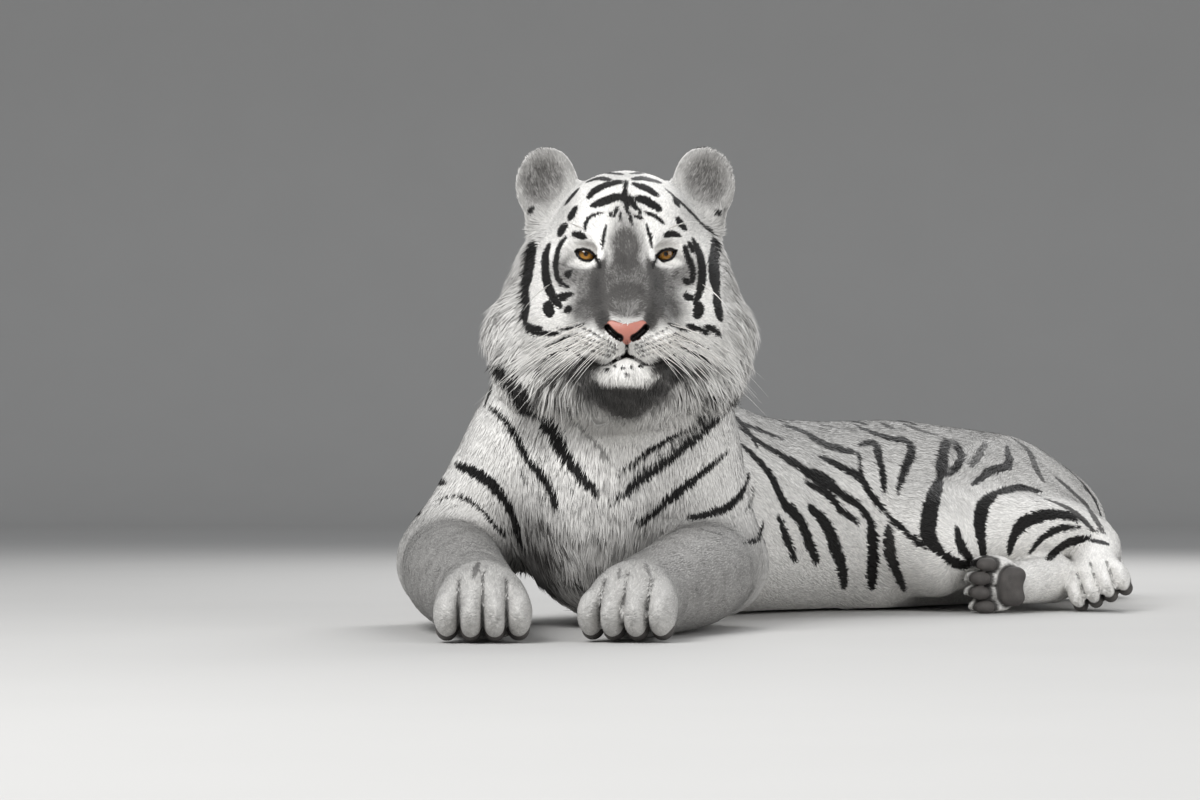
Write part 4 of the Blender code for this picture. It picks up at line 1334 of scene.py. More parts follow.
def bumped(tree, shader, height, strength, distance):
    inputs = {"Strength": strength, "Distance": distance, "Height": height}
    bump = add(tree, "ShaderNodeBump", None, inputs)
    tree.links.new(bump.outputs[0], shader.inputs["Normal"])


def value_of(tree, name):
    return add(tree, "ShaderNodeAttribute", {"attribute_name": name}).outputs["Fac"]


def guard_hair(settings):
    """White tiger guard hair, grown in locks: pale shafts with brown-black bands, greyed towards their roots
    as painted shade.
    """
    sheen = {"Sheen_Weight": 0.08, "Sheen_Roughness": 0.4}
    material, tree, shader = surface("white_guard_hair", 0.62, 0.26, 1.55, **sheen)
    along = value_of(tree, "along")
    # Painted shade at the roots: each lock is greyed towards the shade colour near its root, as if shaded by
    # the locks over it, and whitens along its length.
    root = mixed(tree, 0.34, settings.fur_colour, settings.shade_colour)
    white = mixed(tree, maths(tree, "MULTIPLY_ADD", along, 1.8, 0.15), root, settings.fur_colour)
    grey = mixed(tree, value_of(tree, "grey"), white, settings.shade_colour)
    grey = mixed(tree, maths(tree, "SUBTRACT", value_of(tree, "grey"), 1.0), grey, linear(DEEP_SHADE))
    inside = ramp(tree, value_of(tree, "ink"), -0.0009, 0.0009)
    inked = maths(tree, "MULTIPLY", inside, value_of(tree, "dark"))
    banded = mixed(tree, inked, grey, settings.stripe_colour)
    strand = value_of(tree, "strand")
    value = maths(tree, "MULTIPLY_ADD", strand, 0.30, 0.85)
    lighter = add(tree, "ShaderNodeHueSaturation", None, {"Value": value, "Color": banded})
    coloured(tree, shader, lighter.outputs[0])
    return material


def undercoat(settings):
    """Short woolly undercoat over the skin, 1 to 2 mm hairs: duller than the locks, banded as they are."""
    material, tree, shader = surface("short_undercoat", 0.8, 0.2, 1.55)
    place = place_of(tree)
    ragged = noise(tree, place, 380.0, 3.0)
    edge = maths(tree, "MULTIPLY_ADD", ragged, 0.004, -0.002)
    inside = maths(tree, "ADD", value_of(tree, "ink"), edge)
    banded = ramp(tree, inside, -0.0008, 0.0008)
    banded = maths(tree, "MULTIPLY", banded, value_of(tree, "dark"))
    base = mixed(tree, 0.06, settings.fur_colour, settings.shade_colour)
    grey = mixed(tree, value_of(tree, "grey"), base, settings.shade_colour)
    grey = mixed(tree, maths(tree, "SUBTRACT", value_of(tree, "grey"), 1.0), grey, linear(DEEP_SHADE))
    coat = mixed(tree, banded, grey, settings.stripe_colour)
    bare = mixed(tree, value_of(tree, "lip"), coat, linear("181514"))
    coloured(tree, shader, bare)
    hairs = noise(tree, place, 900.0, 2.0)
    bumped(tree, shader, hairs, 0.35, 0.001)
    return material


def nose_leather(settings):
    """Bare nose leather, moist and finely pebbled: cells of about 1 mm with a soft wet gloss, and near black
    painted shade inside the nostrils.
    """
    depth = {"Subsurface_Weight": 0.12, "Subsurface_Scale": 0.004}
    material, tree, shader = surface("nose_leather", 0.36, 0.5, 1.42, **depth)
    place = place_of(tree)
    cells = add(tree, "ShaderNodeTexVoronoi", None, {"Vector": place, "Scale": 900.0}).outputs["Distance"]
    cloud = noise(tree, place, 90.0, 3.0)
    pink = mixed(tree, cloud, settings.nose_colour, linear("A86E60"))
    # Painted shade inside the nostrils: the leather turns near black over the nostrils' hollows.
    painted_nostril_shade = mixed(tree, value_of(tree, "hole"), pink, linear("120C0B"))
    coloured(tree, shader, painted_nostril_shade)
    bumped(tree, shader, cells, 0.30, 0.0006)
    return material


def sole_leather():
    """Thick sole leather, cracked in cells of 2 to 3 mm: near black grey."""
    material, tree, shader = surface("sole_leather", 0.62, 0.4, 1.45)
    place = place_of(tree)
    inputs = {"Vector": place, "Scale": 380.0}
    cells = add(tree, "ShaderNodeTexVoronoi", {"feature": "DISTANCE_TO_EDGE"}, inputs).outputs[0]
    cloud = noise(tree, place, 70.0, 4.0)
    grey = mixed(tree, cloud, linear("383635"), linear("625E5B"))
    coloured(tree, shader, grey)
    bumped(tree, shader, cells, 0.5, 0.0008)
    return material


def iris_tissue(settings):
    """Iris and white of the eye: amber fibres that run out from a small round pupil to a dark rim, with a
    painted shadow of the upper lid over the iris's top.
    """
    material, tree, shader = surface("iris_tissue", 0.35, 0.3, 1.38)
    place = place_of(tree)
    parts = add(tree, "ShaderNodeSeparateXYZ", None, {0: place})
    x, z = parts.outputs[0], parts.outputs[2]
    squares = maths(tree, "ADD", maths(tree, "MULTIPLY", x, x), maths(tree, "MULTIPLY", z, z))
    radius = maths(tree, "SQRT", squares, 0.0)
    turn = maths(tree, "ARCTAN2", z, x)
    round_it, out = maths(tree, "MULTIPLY", turn, 14.0), maths(tree, "MULTIPLY", radius, 160.0)
    fibre_place = add(tree, "ShaderNodeCombineXYZ", None, {0: round_it, 1: out})
    fibres = noise(tree, fibre_place.outputs[0], 1.0, 4.0)
    ring = maths(tree, "DIVIDE", radius, IRIS_RADIUS)
    amber = mixed(tree, fibres, settings.iris_colour, linear("9A5E14"))
    amber = mixed(tree, ramp(tree, ring, 0.21, 0.42), linear("8A5210"), amber)
    # Painted shadow of the upper lid, darkening the top of the iris.
    painted_lid_shadow = maths(tree, "MULTIPLY", ramp(tree, z, -0.0005, 0.0060), 0.85)
    amber = mixed(tree, painted_lid_shadow, amber, linear("3A2208"))
    amber = mixed(tree, ramp(tree, ring, 0.74, 1.0), amber, linear("1C0F06"))
    amber = mixed(tree, ramp(tree, ring, 0.22, 0.25), linear("020202"), amber)
    coloured(tree, shader, mixed(tree, ramp(tree, ring, 1.0, 1.06), amber, linear("8E7B70")))
    return material


def clear_cornea():
    """The wet clear dome of the eye: all that shows of it is its shine."""
    material = bpy.data.materials.new("clear_cornea")
    material.use_nodes = True
    tree = material.node_tree
    tree.nodes.clear()
    shine = add(tree, "ShaderNodeBsdfGlossy", None, {"Color": (0.6, 0.6, 0.6, 1), "Roughness": 0.03})
    clear = add(tree, "ShaderNodeBsdfTransparent")
    edge = add(tree, "ShaderNodeFresnel", None, {"IOR": 1.45})
    inputs = {0: edge.outputs[0], 1: clear.outputs[0], 2: shine.outputs[0]}
    both = add(tree, "ShaderNodeMixShader", None, inputs)
    add(tree, "ShaderNodeOutputMaterial", None, {0: both.outputs[0]})
    return material


def lid_rim():
    """The bare rim of the lids, black and moist."""
    material, tree, shader = surface("lid_rim", 0.34, 0.5, 1.42)
    place = place_of(tree)
    cloud = noise(tree, place, 220.0, 3.0)
    coloured(tree, shader, mixed(tree, cloud, linear("0E0C0B"), linear("2A2422")))
    return material


def whisker_bristle():
    """Stiff white bristle, 1 mm thick at the root, and smooth."""
    material, tree, shader = surface("whisker_bristle", 0.35, 0.5, 1.55)
    tint = mixed(tree, value_of(tree, "along"), linear("D8D4CE"), linear("F4F2EE"))
    coloured(tree, shader, tint)
    return material


def painted_floor(settings):
    """Matt painted board, rolled on: a plain pale grey with a faint unevenness of some centimetres."""
    material, tree, shader = surface("painted_floor", 0.85, 0.25)
    place = place_of(tree)
    cloud = noise(tree, place, 3.0, 2.0)
    darker = tuple(c * 0.96 for c in settings.floor_colour)
    coloured(tree, shader, mixed(tree, cloud, darker, tuple(settings.floor_colour)))
    return material


# ---- The coat
PIECES = {
    "coat_face": ("head",),
    "coat_ruff": ("ruff", "ear"),
    "coat_breast": ("breast", "neck"),
    "coat_flank_left": ("trunk",),
    "coat_flank_right": ("trunk",),
    "coat_haunch": ("thigh", "shin"),
    "coat_upper_arms": ("upper_arm",),
    "coat_forelegs": ("foreleg",),
    "coat_feet_and_tail": ("foot", "tail"),
}
LONG = ("coat_ruff", "coat_breast")  # pieces whose locks are long and bend
THINNED = {"coat_flank_right": 0.84}  # pieces grown with fewer locks than their spacing gives
PATCH = 0.003  # the width of a lock's own place on the unwrapped skin
SAMPLED = (0.55, 0.92)  # how far along a lock its own markings are taken from the skin below
ROOT_DEPTH = 0.0003  # how far under the skin a lock starts
BEND = 0.45  # how far along a lock it is widest and bends
# A lock's faces, by the numbers of its corners, where each corner sits in the lock's own patch of the
# map, and whether each corner is of the root (0), the middle (1) or the tip (2)
FACES = ((0, 3, 1), (0, 2, 3), (0, 1, 2), (1, 3, 2))
SPREAD = ((-0.5, 0), (0, 0.5), (0, -0.5), (0.5, 0))
KINDS = (0, 1, 1, 2)
LONG_FACES = ((0, 4, 1), (0, 2, 4), (0, 1, 2), (3, 1, 4), (3, 4, 2), (3, 2, 1))
LONG_SPREAD = (*SPREAD, (0.1, 0))
LONG_KINDS = (*KINDS, 1)


def unwrapped(points, normals, box):
    """Places on the skin unfolded as the six sides of a box, three wide and two high."""
    low, high = box
    at = (points - low) / np.maximum(high - low, 1e-6)
    axis = np.abs(normals).argmax(1)
    negative = normals[np.arange(len(axis)), axis] < 0
    u = at[np.arange(len(axis)), (axis + 1) % 3]
    v = at[np.arange(len(axis)), (axis + 2) % 3]
    margin = 0.02
    u = (axis + margin + (1 - 2 * margin) * u) / 3
    v = (negative + margin + (1 - 2 * margin) * v) / 2
    return np.stack([u, v], 1)


def turned(v, axis, angle):
    """Rows of v turned about rows of axis, which they are square to."""
    return v * np.cos(angle)[:, None] + np.cross(axis, v) * np.sin(angle)[:, None]


def waves(points, rng, count, length):
    """A smooth random swell over space, between about -1 and 1, whose waves are about length long."""
    ways = rng.normal(size=(count, 3)) / length * 2
    return np.sin(points @ ways.T + rng.uniform(0, 6.28, count)).sum(1) / math.sqrt(count)


def grown(rng, tree_faces, points, normals, values, chosen, crowding):
    """Roots spread over the chosen triangles of the skin, with values carried to them."""
    faces = tree_faces[chosen]
    a, b, c = points[faces[:, 0]], points[faces[:, 1]], points[faces[:, 2]]
    area = np.linalg.norm(np.cross(b - a, c - a), axis=1) / 2
    spacing = values["spacing"][faces].mean(1)
    expected = area / spacing**2 * crowding * values["grows"][faces].mean(1)
    count = np.floor(expected + rng.random(len(expected))).astype(int)
    face = np.repeat(np.arange(len(faces)), count)
    u, v = rng.random(len(face)), rng.random(len(face))
    over = u + v > 1
    u[over], v[over] = 1 - u[over], 1 - v[over]
    weight = np.stack([1 - u - v, u, v], 1)

    def carry(rows):
        return (rows[faces[face]] * (weight if rows.ndim == 1 else weight[..., None])).sum(1)

    made = {name: carry(rows) for name, rows in values.items()}
    made["root"] = carry(points)
    made["normal"] = unit_rows(carry(normals))
    return made


def carried(tree, points, faces, targets, values):
    """The place on the skin nearest to each target, and each of the values there."""
    found = [tree.find_nearest(Vector(target)) for target in targets.tolist()]
    corners = faces[np.array([hit[2] for hit in found])]
    place = np.array([hit[0] for hit in found])
    a, b, c = (points[corners[:, i]] for i in range(3))
    ab, ac, ap = b - a, c - a, place - a
    whole = np.maximum(np.linalg.norm(np.cross(ab, ac), axis=1), 1e-12)
    way = np.cross(ab, ac) / whole[:, None]
    second = ((np.cross(ap, ac) * way).sum(1) / whole).clip(0, 1)
    third = ((np.cross(ab, ap) * way).sum(1) / whole).clip(0, 1)
    weight = np.stack([1 - second - third, second, third], 1)
    return place, [(rows[corners] * weight).sum(1) for rows in values]


def lock_corners(rng, at, long):
    """Rows of corners, one row per corner of a lock (root, left, right, tip and, if long, its crown), the
    way that each row faces, and the locks' lengths and widths."""
    count = len(at["root"])
    normal = at["normal"]
    lie = unit_rows(at["lie"] - (at["lie"] * normal).sum(1)[:, None] * normal)
    swell = waves(at["root"], rng, 14, 0.030)
    lie = turned(lie, normal, rng.normal(0, 0.12, count) + 0.13 * swell)
    longer = rng.uniform(0.75, 1.2, count)
    length = at["length"] * longer
    width = at["width"] * rng.uniform(0.75, 1.25, count)
    lift = np.radians(at["lift"] * rng.uniform(0.6, 1.35, count))
    lift = lift * (1 + 0.25 * waves(at["root"], rng, 14, 0.018))
    side = np.cross(normal, lie) * (width / 2)[:, None]
    root = at["root"] - normal * ROOT_DEPTH
    middle_rise = length * BEND * np.sin(lift) + at["middle_rise"] * (longer * BEND / SAMPLED[0]) ** 2
    tip_rise = length * at["stand"] * np.sin(lift) + at["tip_rise"] * (longer / SAMPLED[1]) ** 2
    middle = root + lie * (length * BEND)[:, None] + normal * middle_rise[:, None]
    tip = root + lie * length[:, None] + normal * tip_rise[:, None]
    thick = normal * (width * 0.18)[:, None]
    left, right = middle + side, middle - side
    if long:
        left, right = left - thick, right - thick
    aside = 0.5 * side / (width / 2)[:, None]
    rows = [root, left, right, tip]
    facing = [normal, unit_rows(normal + aside), unit_rows(normal - aside), normal]
    if long:
        rows.append(middle + thick)
        facing.append(normal)
    return rows, facing, length, width


def locks(name, rng, at, box, long):
    """One mesh of closed locks of hair: each starts in the skin, swells to its width and ends in a tip.
    A short lock has four corners. A long one has five and bends down from its middle."""
    rows, facing, length, width = lock_corners(rng, at, long)
    count, each = len(length), len(rows)
    faces, spread, kinds = (LONG_FACES, LONG_SPREAD, LONG_KINDS) if long else (FACES, SPREAD, KINDS)
    points = np.stack(rows, 1).reshape(-1, 3)
    points[:, 2] = np.maximum(points[:, 2], 0.0006)
    every = (np.arange(count)[:, None, None] * each + np.array(faces)[None]).reshape(-1, 3)
    if not long:
        root, left, right, tip = rows
        turned_in = ((left - root) * np.cross(right - root, tip - root)).sum(1) > 0
        flip = np.repeat(turned_in, len(faces))
        every[flip] = every[flip][:, ::-1]
    made = new_mesh(name, points, every)
    made.data.normals_split_custom_set_from_vertices(np.stack(facing, 1).reshape(-1, 3))
    jitter = rng.normal(0, 0.20, count) * width + 0.15 * width * waves(at["root"], rng, 10, 0.008)
    jitter += 0.05 * length  # makes up for thin marks that fall between the two places
    ink = np.stack([at["middle_ink"], at["middle_ink"], at["tip_ink"]], 1)[:, kinds] + jitter[:, None]
    grey = np.stack([at["grey"], at["middle_grey"], at["tip_grey"]], 1)[:, kinds]
    streaks = waves(at["root"], rng, 12, 0.010) + 0.7 * waves(at["root"], rng, 12, 0.004)
    grey = grey * rng.uniform(0.9, 1.1, count)[:, None] + (at["streak"] * np.clip(streaks, 0, 2))[:, None]
    give(made, "ink", ink)
    give(made, "dark", np.repeat(np.maximum(at["dark"], at["middle_dark"]), each))
    give(made, "grey", np.clip(grey, 0, 2))
    give(made, "strand", np.repeat(rng.random(count), each))
    # along also fades the painted shade at the locks' roots out towards their tips.
    give(made, "along", np.tile(np.array((0, BEND, 1))[list(kinds)], count))
    place = unwrapped(at["root"], at["normal"], box)
    uv = (place[:, None] + np.array(spread)[None] * PATCH).reshape(-1, 2)
    layer = made.data.uv_layers.new(name="OFBake")
    layer.uv.foreach_set("vector", uv[every.ravel()].astype(np.float32).ravel())
    return made


# ---- Eyes
IRIS_RADIUS = 0.0117
CORNEA_RADIUS = 0.0148
GAZE = 0.09  # how far the eyes look up, in radians


def lathed(name, profile, turns=48):
    """A closed round form about the way the eye looks, from (radius, distance ahead) pairs."""
    profile = np.array(profile)
    turn = np.linspace(0, 2 * math.pi, turns, endpoint=False)
    rings = [np.stack([r * np.cos(turn), np.full(turns, -d), r * np.sin(turn)], 1) for r, d in profile[1:-1]]
    points = np.concatenate([[(0, -profile[0, 1], 0)]] + rings + [[(0, -profile[-1, 1], 0)]])
    quads, ends = [], []
    for i in range(turns):
        j = (i + 1) % turns
        ends.append((0, 1 + j, 1 + i))
        last = 1 + turns * (len(rings) - 1)
        ends.append((len(points) - 1, last + i, last + j))
        for ring in range(len(rings) - 1):
            a = 1 + turns * ring
            quads.append((a + i, a + j, a + turns + j, a + turns + i))
    return new_mesh(name, points - np.array(HOME), np.array(quads), np.array(ends))


def eyeball(side, name):
    """The ball, with its iris set back under the cornea as a shallow dish."""
    limbus = math.sqrt(EYE_RADIUS**2 - IRIS_RADIUS**2)
    profile = [(0, limbus - 0.0012), (0.0026, limbus - 0.0012), (0.0028, limbus - 0.0004)]
    for r in np.linspace(0.0035, IRIS_RADIUS - 0.0006, 7):
        profile.append((r, limbus - 0.0004 - 0.0004 * math.sin(r / IRIS_RADIUS * math.pi)))
    start = math.asin(IRIS_RADIUS / EYE_RADIUS)
    for turn in np.linspace(start, math.pi - 0.15, 16):
        profile.append((EYE_RADIUS * math.sin(turn), EYE_RADIUS * math.cos(turn)))
    profile.append((0, -EYE_RADIUS))
    made = lathed(name, profile)
    made.location = Vector(BROW + np.array((side * EYE[0], -EYE[1], 0))) + HOME
    made.rotation_euler = (-GAZE, 0, 0)
    return made


def cornea(side, name):
    limbus = math.sqrt(EYE_RADIUS**2 - IRIS_RADIUS**2)
    reach = IRIS_RADIUS + 0.0004
    centre = limbus - math.sqrt(CORNEA_RADIUS**2 - reach**2)
    edge = math.asin(reach / CORNEA_RADIUS)
    turns = np.linspace(0, edge, 10)
    outer = [(CORNEA_RADIUS * math.sin(t), centre + CORNEA_RADIUS * math.cos(t)) for t in turns]
    inner = [(r * 0.985, d - 0.0007) for r, d in outer[::-1]]
    inner[-1] = (0, inner[-1][1])
    made = lathed(name, outer + inner)
    made.location = Vector(BROW + np.array((side * EYE[0], -EYE[1], 0))) + HOME
    made.rotation_euler = (-GAZE, 0, 0)
    return made


def lid_line(side, count=72):
    """Places round the eye's opening, on the ball, and the way out from the ball at each."""
    rows = []
    for t in np.linspace(0, 2 * math.pi, count, endpoint=False):
        upper = math.sin(t) > 0
        rise = UPPER_LID if upper else LOWER_LID
        u, v = LID_HALF * math.cos(t), rise * (1 - math.cos(t) ** 2) * (1 if upper else -1)
        across = u * math.cos(LID_TILT) - v * math.sin(LID_TILT)
        up = u * math.sin(LID_TILT) + v * math.cos(LID_TILT)
        ahead = math.sqrt((EYE_RADIUS + 0.0011) ** 2 - across**2 - up**2)
        rows.append((side * across, -ahead, up))
    return np.array(rows)


def rim(side, name):
    """The black rim of both lids: a soft tube round the opening, thinner below."""
    line = lid_line(side)
    out = unit_rows(line)
    along = unit_rows(np.roll(line, -1, 0) - np.roll(line, 1, 0))
    across = np.cross(along, out)
    count = len(line)
    wide = np.where(line[:, 2] > 0, 0.0017, 0.0013)
    turn = np.linspace(0, 2 * math.pi, 10, endpoint=False)
    rings = [
        line + across * (wide * math.cos(t))[:, None] + out * (wide * 0.8 * math.sin(t))[:, None]
        for t in turn
    ]
    points = np.stack(rings, 1).reshape(-1, 3)
    quads = [
        (10 * i + j, 10 * i + (j + 1) % 10, 10 * ((i + 1) % count) + (j + 1) % 10, 10 * ((i + 1) % count) + j)
        for i in range(count)
        for j in range(10)
    ]
    centre = BROW + np.array((side * EYE[0], -EYE[1], 0))
    quads = np.array(quads)
    return new_mesh(name, points + centre, quads[:, ::-1] if side > 0 else quads)


# ---- Pads on the soles
# How far back the pads sit on each foot, out of sight under the toes of those that lie flat
PADS = {
    "hind_foot_right": 0.0,
    "hind_foot_left": 0.008,
    "forepaw_right": 0.016,
    "forepaw_left": 0.016,
}


def pad_form(p, name):
    """Four toe pads and the broad pad behind them, standing out of a foot's sole."""
    ball, toes, sole, width = FOOT[name]
    size = width / WHOLE_FOOT
    q = foot_places(p, ball, toes, sole) + PADS[name] * size * np.array((0, 1, 0))
    found = blob(q, np.array((0, -0.006, 0.032)) * size, np.array((0.040, 0.027, 0.015)) * size)
    for i in (-1, 1):
        lobe = blob(q, np.array((i * 0.023, -0.019, 0.031)) * size, np.array((0.017, 0.019, 0.014)) * size)
        found = merge(found, lobe, 0.010 * size)
    for across, reach in toe_ends():
        place = np.array((across, reach - 0.004, 0.029)) * size
        found = np.minimum(found, blob(q, place, np.array((0.0142, 0.0215, 0.015)) * size))
    return found


def pads():
    """One mesh of all the sole pads."""
    all_points, all_quads, total = [], [], 0
    for name in PADS:
        ball = np.array(FOOT[name][0])
        low = ball - 0.12

        def form(p, name=name):
            return np.maximum(pad_form(p, name), 0.0008 - p[:, 2])

        points, quads = surface_net(sampled(form, low, ball + 0.12, 0.0022), low, 0.0022)
        all_points.append(points)
        all_quads.append(quads + total)
        total += len(points)
    return new_mesh("sole_pads", np.concatenate(all_points), np.concatenate(all_quads))


# ---- Whiskers
# Over each eye and on each cheek: millimetres across and above the brow, and metres long
BROW_WHISKERS = (
    (60, 34, 0.055),
    (64, 36, 0.045),
    (56, 33, 0.040),
    (100, -40, 0.050),
    (104, -44, 0.045),
)


def whisker_roots(longest):
    """Where each whisker's root is sighted from, before the face, its way out and its length."""
    rng = np.random.default_rng(5)
    starts, ways, lengths = [], [], []
    for start, end, count in LIP_ROWS:
        for side in (-1, 1):
            for t in np.linspace(0.15, 1, count):
                u, v = (np.array(start) * (1 - t) + np.array(end) * t) * 0.001
                starts.append(BROW + (side * u, -0.6, v))
                outward = side * (0.5 + 0.5 * t + rng.uniform(-0.1, 0.1))
                back = -0.35 + 0.75 * t + rng.uniform(-0.1, 0.1)
                ways.append((outward, back, -0.22 + rng.uniform(-0.25, 0.12)))
                lengths.append(longest * (0.35 + 0.65 * t) * rng.uniform(0.7, 1.05))
    for side in (-1, 1):
        for u, v, reach in BROW_WHISKERS:
            starts.append(BROW + (side * u * 0.001, -0.6, v * 0.001))
            ways.append((side * 0.55, -0.5, 0.35 if v > 0 else -0.3))
            lengths.append(reach)
    return starts, ways, lengths


def bristles(name, starts, ways, lengths, radius, droop=0.35, steps=7):
    """Tapered bristles with three sides, bent down by their own weight."""
    count = len(starts)
    ways = unit_rows(ways)
    side = unit_rows(np.cross(ways, (0, 0, 1.0)))
    up = np.cross(side, ways)
    layers, along = [], []
    for step in range(steps):
        t = step / (steps - 1)
        middle = starts + ways * (lengths * t)[:, None]
        middle[:, 2] -= lengths * droop * t * t
        thick = radius * (1 - t) ** 0.7 + 0.00008
        for turn in (0, 2.094, 4.189):
            layers.append(middle + side * (thick * math.cos(turn)) + up * (thick * math.sin(turn)))
            along.append(np.full(count, t))
    points = np.stack(layers, 1)
    each = points.shape[1]
    quads = [
        (3 * s + i, 3 * s + (i + 1) % 3, 3 * s + 3 + (i + 1) % 3, 3 * s + 3 + i)
        for s in range(steps - 1)
        for i in range(3)
    ]
    caps = [(2, 1, 0), (each - 3, each - 2, each - 1)]
    base = np.arange(count)[:, None, None] * each
    sides, ends = (base + np.array(quads)).reshape(-1, 4), (base + np.array(caps)).reshape(-1, 3)
    made = new_mesh(name, points.reshape(-1, 3), sides, ends)
    give(made, "along", np.stack(along, 1).ravel())
    return made


# ---- What the skin carries at its points
TEAR_LINE = ((0.0405, -0.0045), (0.0370, -0.0125), (0.0345, -0.0200))  # dark, from an eye's inner corner
BARE_NOSE = 0.0006  # how far past the edge of the leather no hair grows


def layered(marks, over, strength):
    """Marks, as how far inside and how dark, with one more kind of mark over them."""
    ink, dark = marks
    return np.maximum(ink, over), np.where(over > ink, strength, dark)


def all_marks(points, normals, found, tree):
    """How far inside a dark mark each point is, and how dark: stripes, ears' backs, painted shade in the
    clefts between the toes, eye lines.
    """
    q = head_places(points)
    marks = marked(points, mark_lines(tree))
    marks = layered(marks, ear_back(points, normals, found), 0.92)
    # Painted shade in the clefts between the toes, laid over the marks.
    marks = layered(marks, cleft_shade(points), 0.62)
    tear = line_far(q[:, 0], q[:, 2], TEAR_LINE)
    lined = np.maximum(0.0022 - lens_far(q[:, 0] - EYE[0], q[:, 2]), 0.0021 - tear)
    return layered(marks, np.where(q[:, 1] > -0.02, lined, FAINT), 1.0)


def lips(q, mouth, by_eye):
    """How much each point is the bare dark skin of the mouth, the line under the nose or a lid."""
    under_nose = line_far(*sighted(q), PHILTRUM)
    made = np.clip(1.9 - mouth / 0.0022, 0, 1)
    made = np.maximum(made, np.clip(2.1 - under_nose / 0.0014, 0, 1) * (q[:, 1] > 0.03))
    return np.maximum(made, np.clip(1 - by_eye / 0.0012, 0, 1))


def growing(points, normals, by_eye, leather, lip):
    """1 where hair grows, and 0 on the lids, nose, lips and pads and against the floor."""
    grows = np.ones(len(points))
    grows[(by_eye < 0.0012) | (leather < BARE_NOSE) | (lip > 0.45)] = 0
    for name in FOOT:
        grows[pad_form(points, name) < 0.0015] = 0
    grows[(points[:, 2] < 0.006) & (normals[:, 2] < -0.7)] = 0
    return grows


def combed(points, normals, found, clear):
    """The lie of the coat, turned outwards from the eye's opening where clear is less than 1."""
    q = head_places(points)
    lens = lens_far(q[:, 0] - EYE[0], q[:, 2])
    step = 0.001
    outward = (lens_far(q[:, 0] + step - EYE[0], q[:, 2]) - lens) / step
    upward = (lens_far(q[:, 0] - EYE[0], q[:, 2] + step) - lens) / step
    away = np.stack([outward * np.sign(points[:, 0] - BROW[0]), 0 * lens, upward], 1)
    away = away - (away * normals).sum(1)[:, None] * normals
    lie = lie_of(points, normals, found)
    return unit_rows(lie * clear[:, None] + 1.3 * away * (1 - clear)[:, None])


def streaks_of(points, share, low_breast, fringe):
    """How strongly grey streaks run through the locks at each point."""
    q = head_places(points)
    u, v = sighted(q)
    beard = np.clip(1.5 - np.hypot(u / 0.050, (v + 0.190) / 0.024), 0, 1) * (q[:, 1] > -0.02)
    throat = share["neck"] + breast_share(points) * share["trunk"]
    streak = 0.05 + 0.26 * share["ruff"] - 0.13 * share["ear"] + 0.12 * throat
    # Across the low breast the grey streaks deepen the painted shade between the forelegs.
    return streak + 0.30 * low_breast + 0.34 * fringe - 0.75 * beard


def kinds_of(points, share):
    """Which kind of coat, counted in COAT_NAMES, each point has most of."""
    by_kind = np.zeros((len(COAT_NAMES), len(points)))
    front = breast_share(points)
    for name, value in share.items():
        if name == "trunk":
            by_kind[COAT_NAMES.index("breast")] += value * front
            value = value * (1 - front)
        by_kind[COAT_NAMES.index(kind_of(name))] += value
    return by_kind.argmax(0)


def give_markings(made, points, normals, found, tree, faces, lie, length):
    """Stores the marks and the grey at each point, and those that its lock has further along it."""
    ink, dark = all_marks(points, normals, found, tree)
    grey = shade_of(points, normals, found)
    give(made, "ink", ink)
    give(made, "dark", dark)
    give(made, "grey", grey)
    near = BVHTree.FromPolygons(points.tolist(), faces.tolist())
    for place, reach in zip(("middle", "tip"), SAMPLED):
        targets = points + lie * (length * reach)[:, None]
        under, (inks, darks, greys) = carried(near, points, faces, targets, (ink, dark, grey))
        most = 0.5 * reach * length
        give(made, place + "_rise", ((under - targets) * normals).sum(1).clip(-most, most))
        give(made, place + "_ink", inks)
        give(made, place + "_grey", greys)
        if place == "middle":
            give(made, "middle_dark", darks)


def points_of(made):
    """A piece's points, in the co-ordinates of the form."""
    found = np.empty(len(made.data.vertices) * 3, np.float32)
    made.data.vertices.foreach_get("co", found)
    return found.reshape(-1, 3).astype(float) - np.array(HOME)


def normals_of(made):
    found = np.empty(len(made.data.vertices) * 3, np.float32)
    made.data.vertex_normals.foreach_get("vector", found)
    return found.reshape(-1, 3).astype(float)


# ---- The stage
# The floor rises in a curve to the backdrop, far enough off for the tiger to be seen from every side
FLOOR_REACH = 14.0
RISE_START = 10.0
RISE_RADIUS = 2.5
BACKDROP_TOP = 9.0
# Each soft lamp: its name, place, width, and power as a share of the main one's
LAMPS = (
    ("key", (-1.7, -2.6, 2.9), 2.2, 1.0),
    ("fill", (3.0, -2.8, 1.4), 2.6, 0.42),
    ("rim", (1.2, 3.0, 2.8), 2.4, 0.55),
)
LIT = Vector((0.25, 0.4, 0.25))  # where the lamps are aimed
SKY_COLOUR = (0.80, 0.82, 0.85, 1)
SKY_STRENGTH = 0.45
LENS = 96  # of the camera, on a sensor 36 wide, in millimetres
SENSOR = 36
LOOKS_UP = 0.0253125  # how much the camera's line of sight rises for each metre ahead


def floor_mesh(settings):
    profile = [(-FLOOR_REACH, 0.0), (RISE_START / 2, 0.0), (RISE_START, 0.0)]
    for t in np.linspace(0.1, math.pi / 2, 14):
        profile.append((RISE_START + RISE_RADIUS * math.sin(t), RISE_RADIUS * (1 - math.cos(t))))
    profile.append((RISE_START + RISE_RADIUS, BACKDROP_TOP))
    points = np.array([(x, y, z) for y, z in profile for x in (-FLOOR_REACH, FLOOR_REACH)])
    quads = np.array([(2 * i, 2 * i + 1, 2 * i + 3, 2 * i + 2) for i in range(len(profile) - 1)])
    floor = new_mesh("floor", points, quads)
    floor.data.materials.append(painted_floor(settings))
    return floor


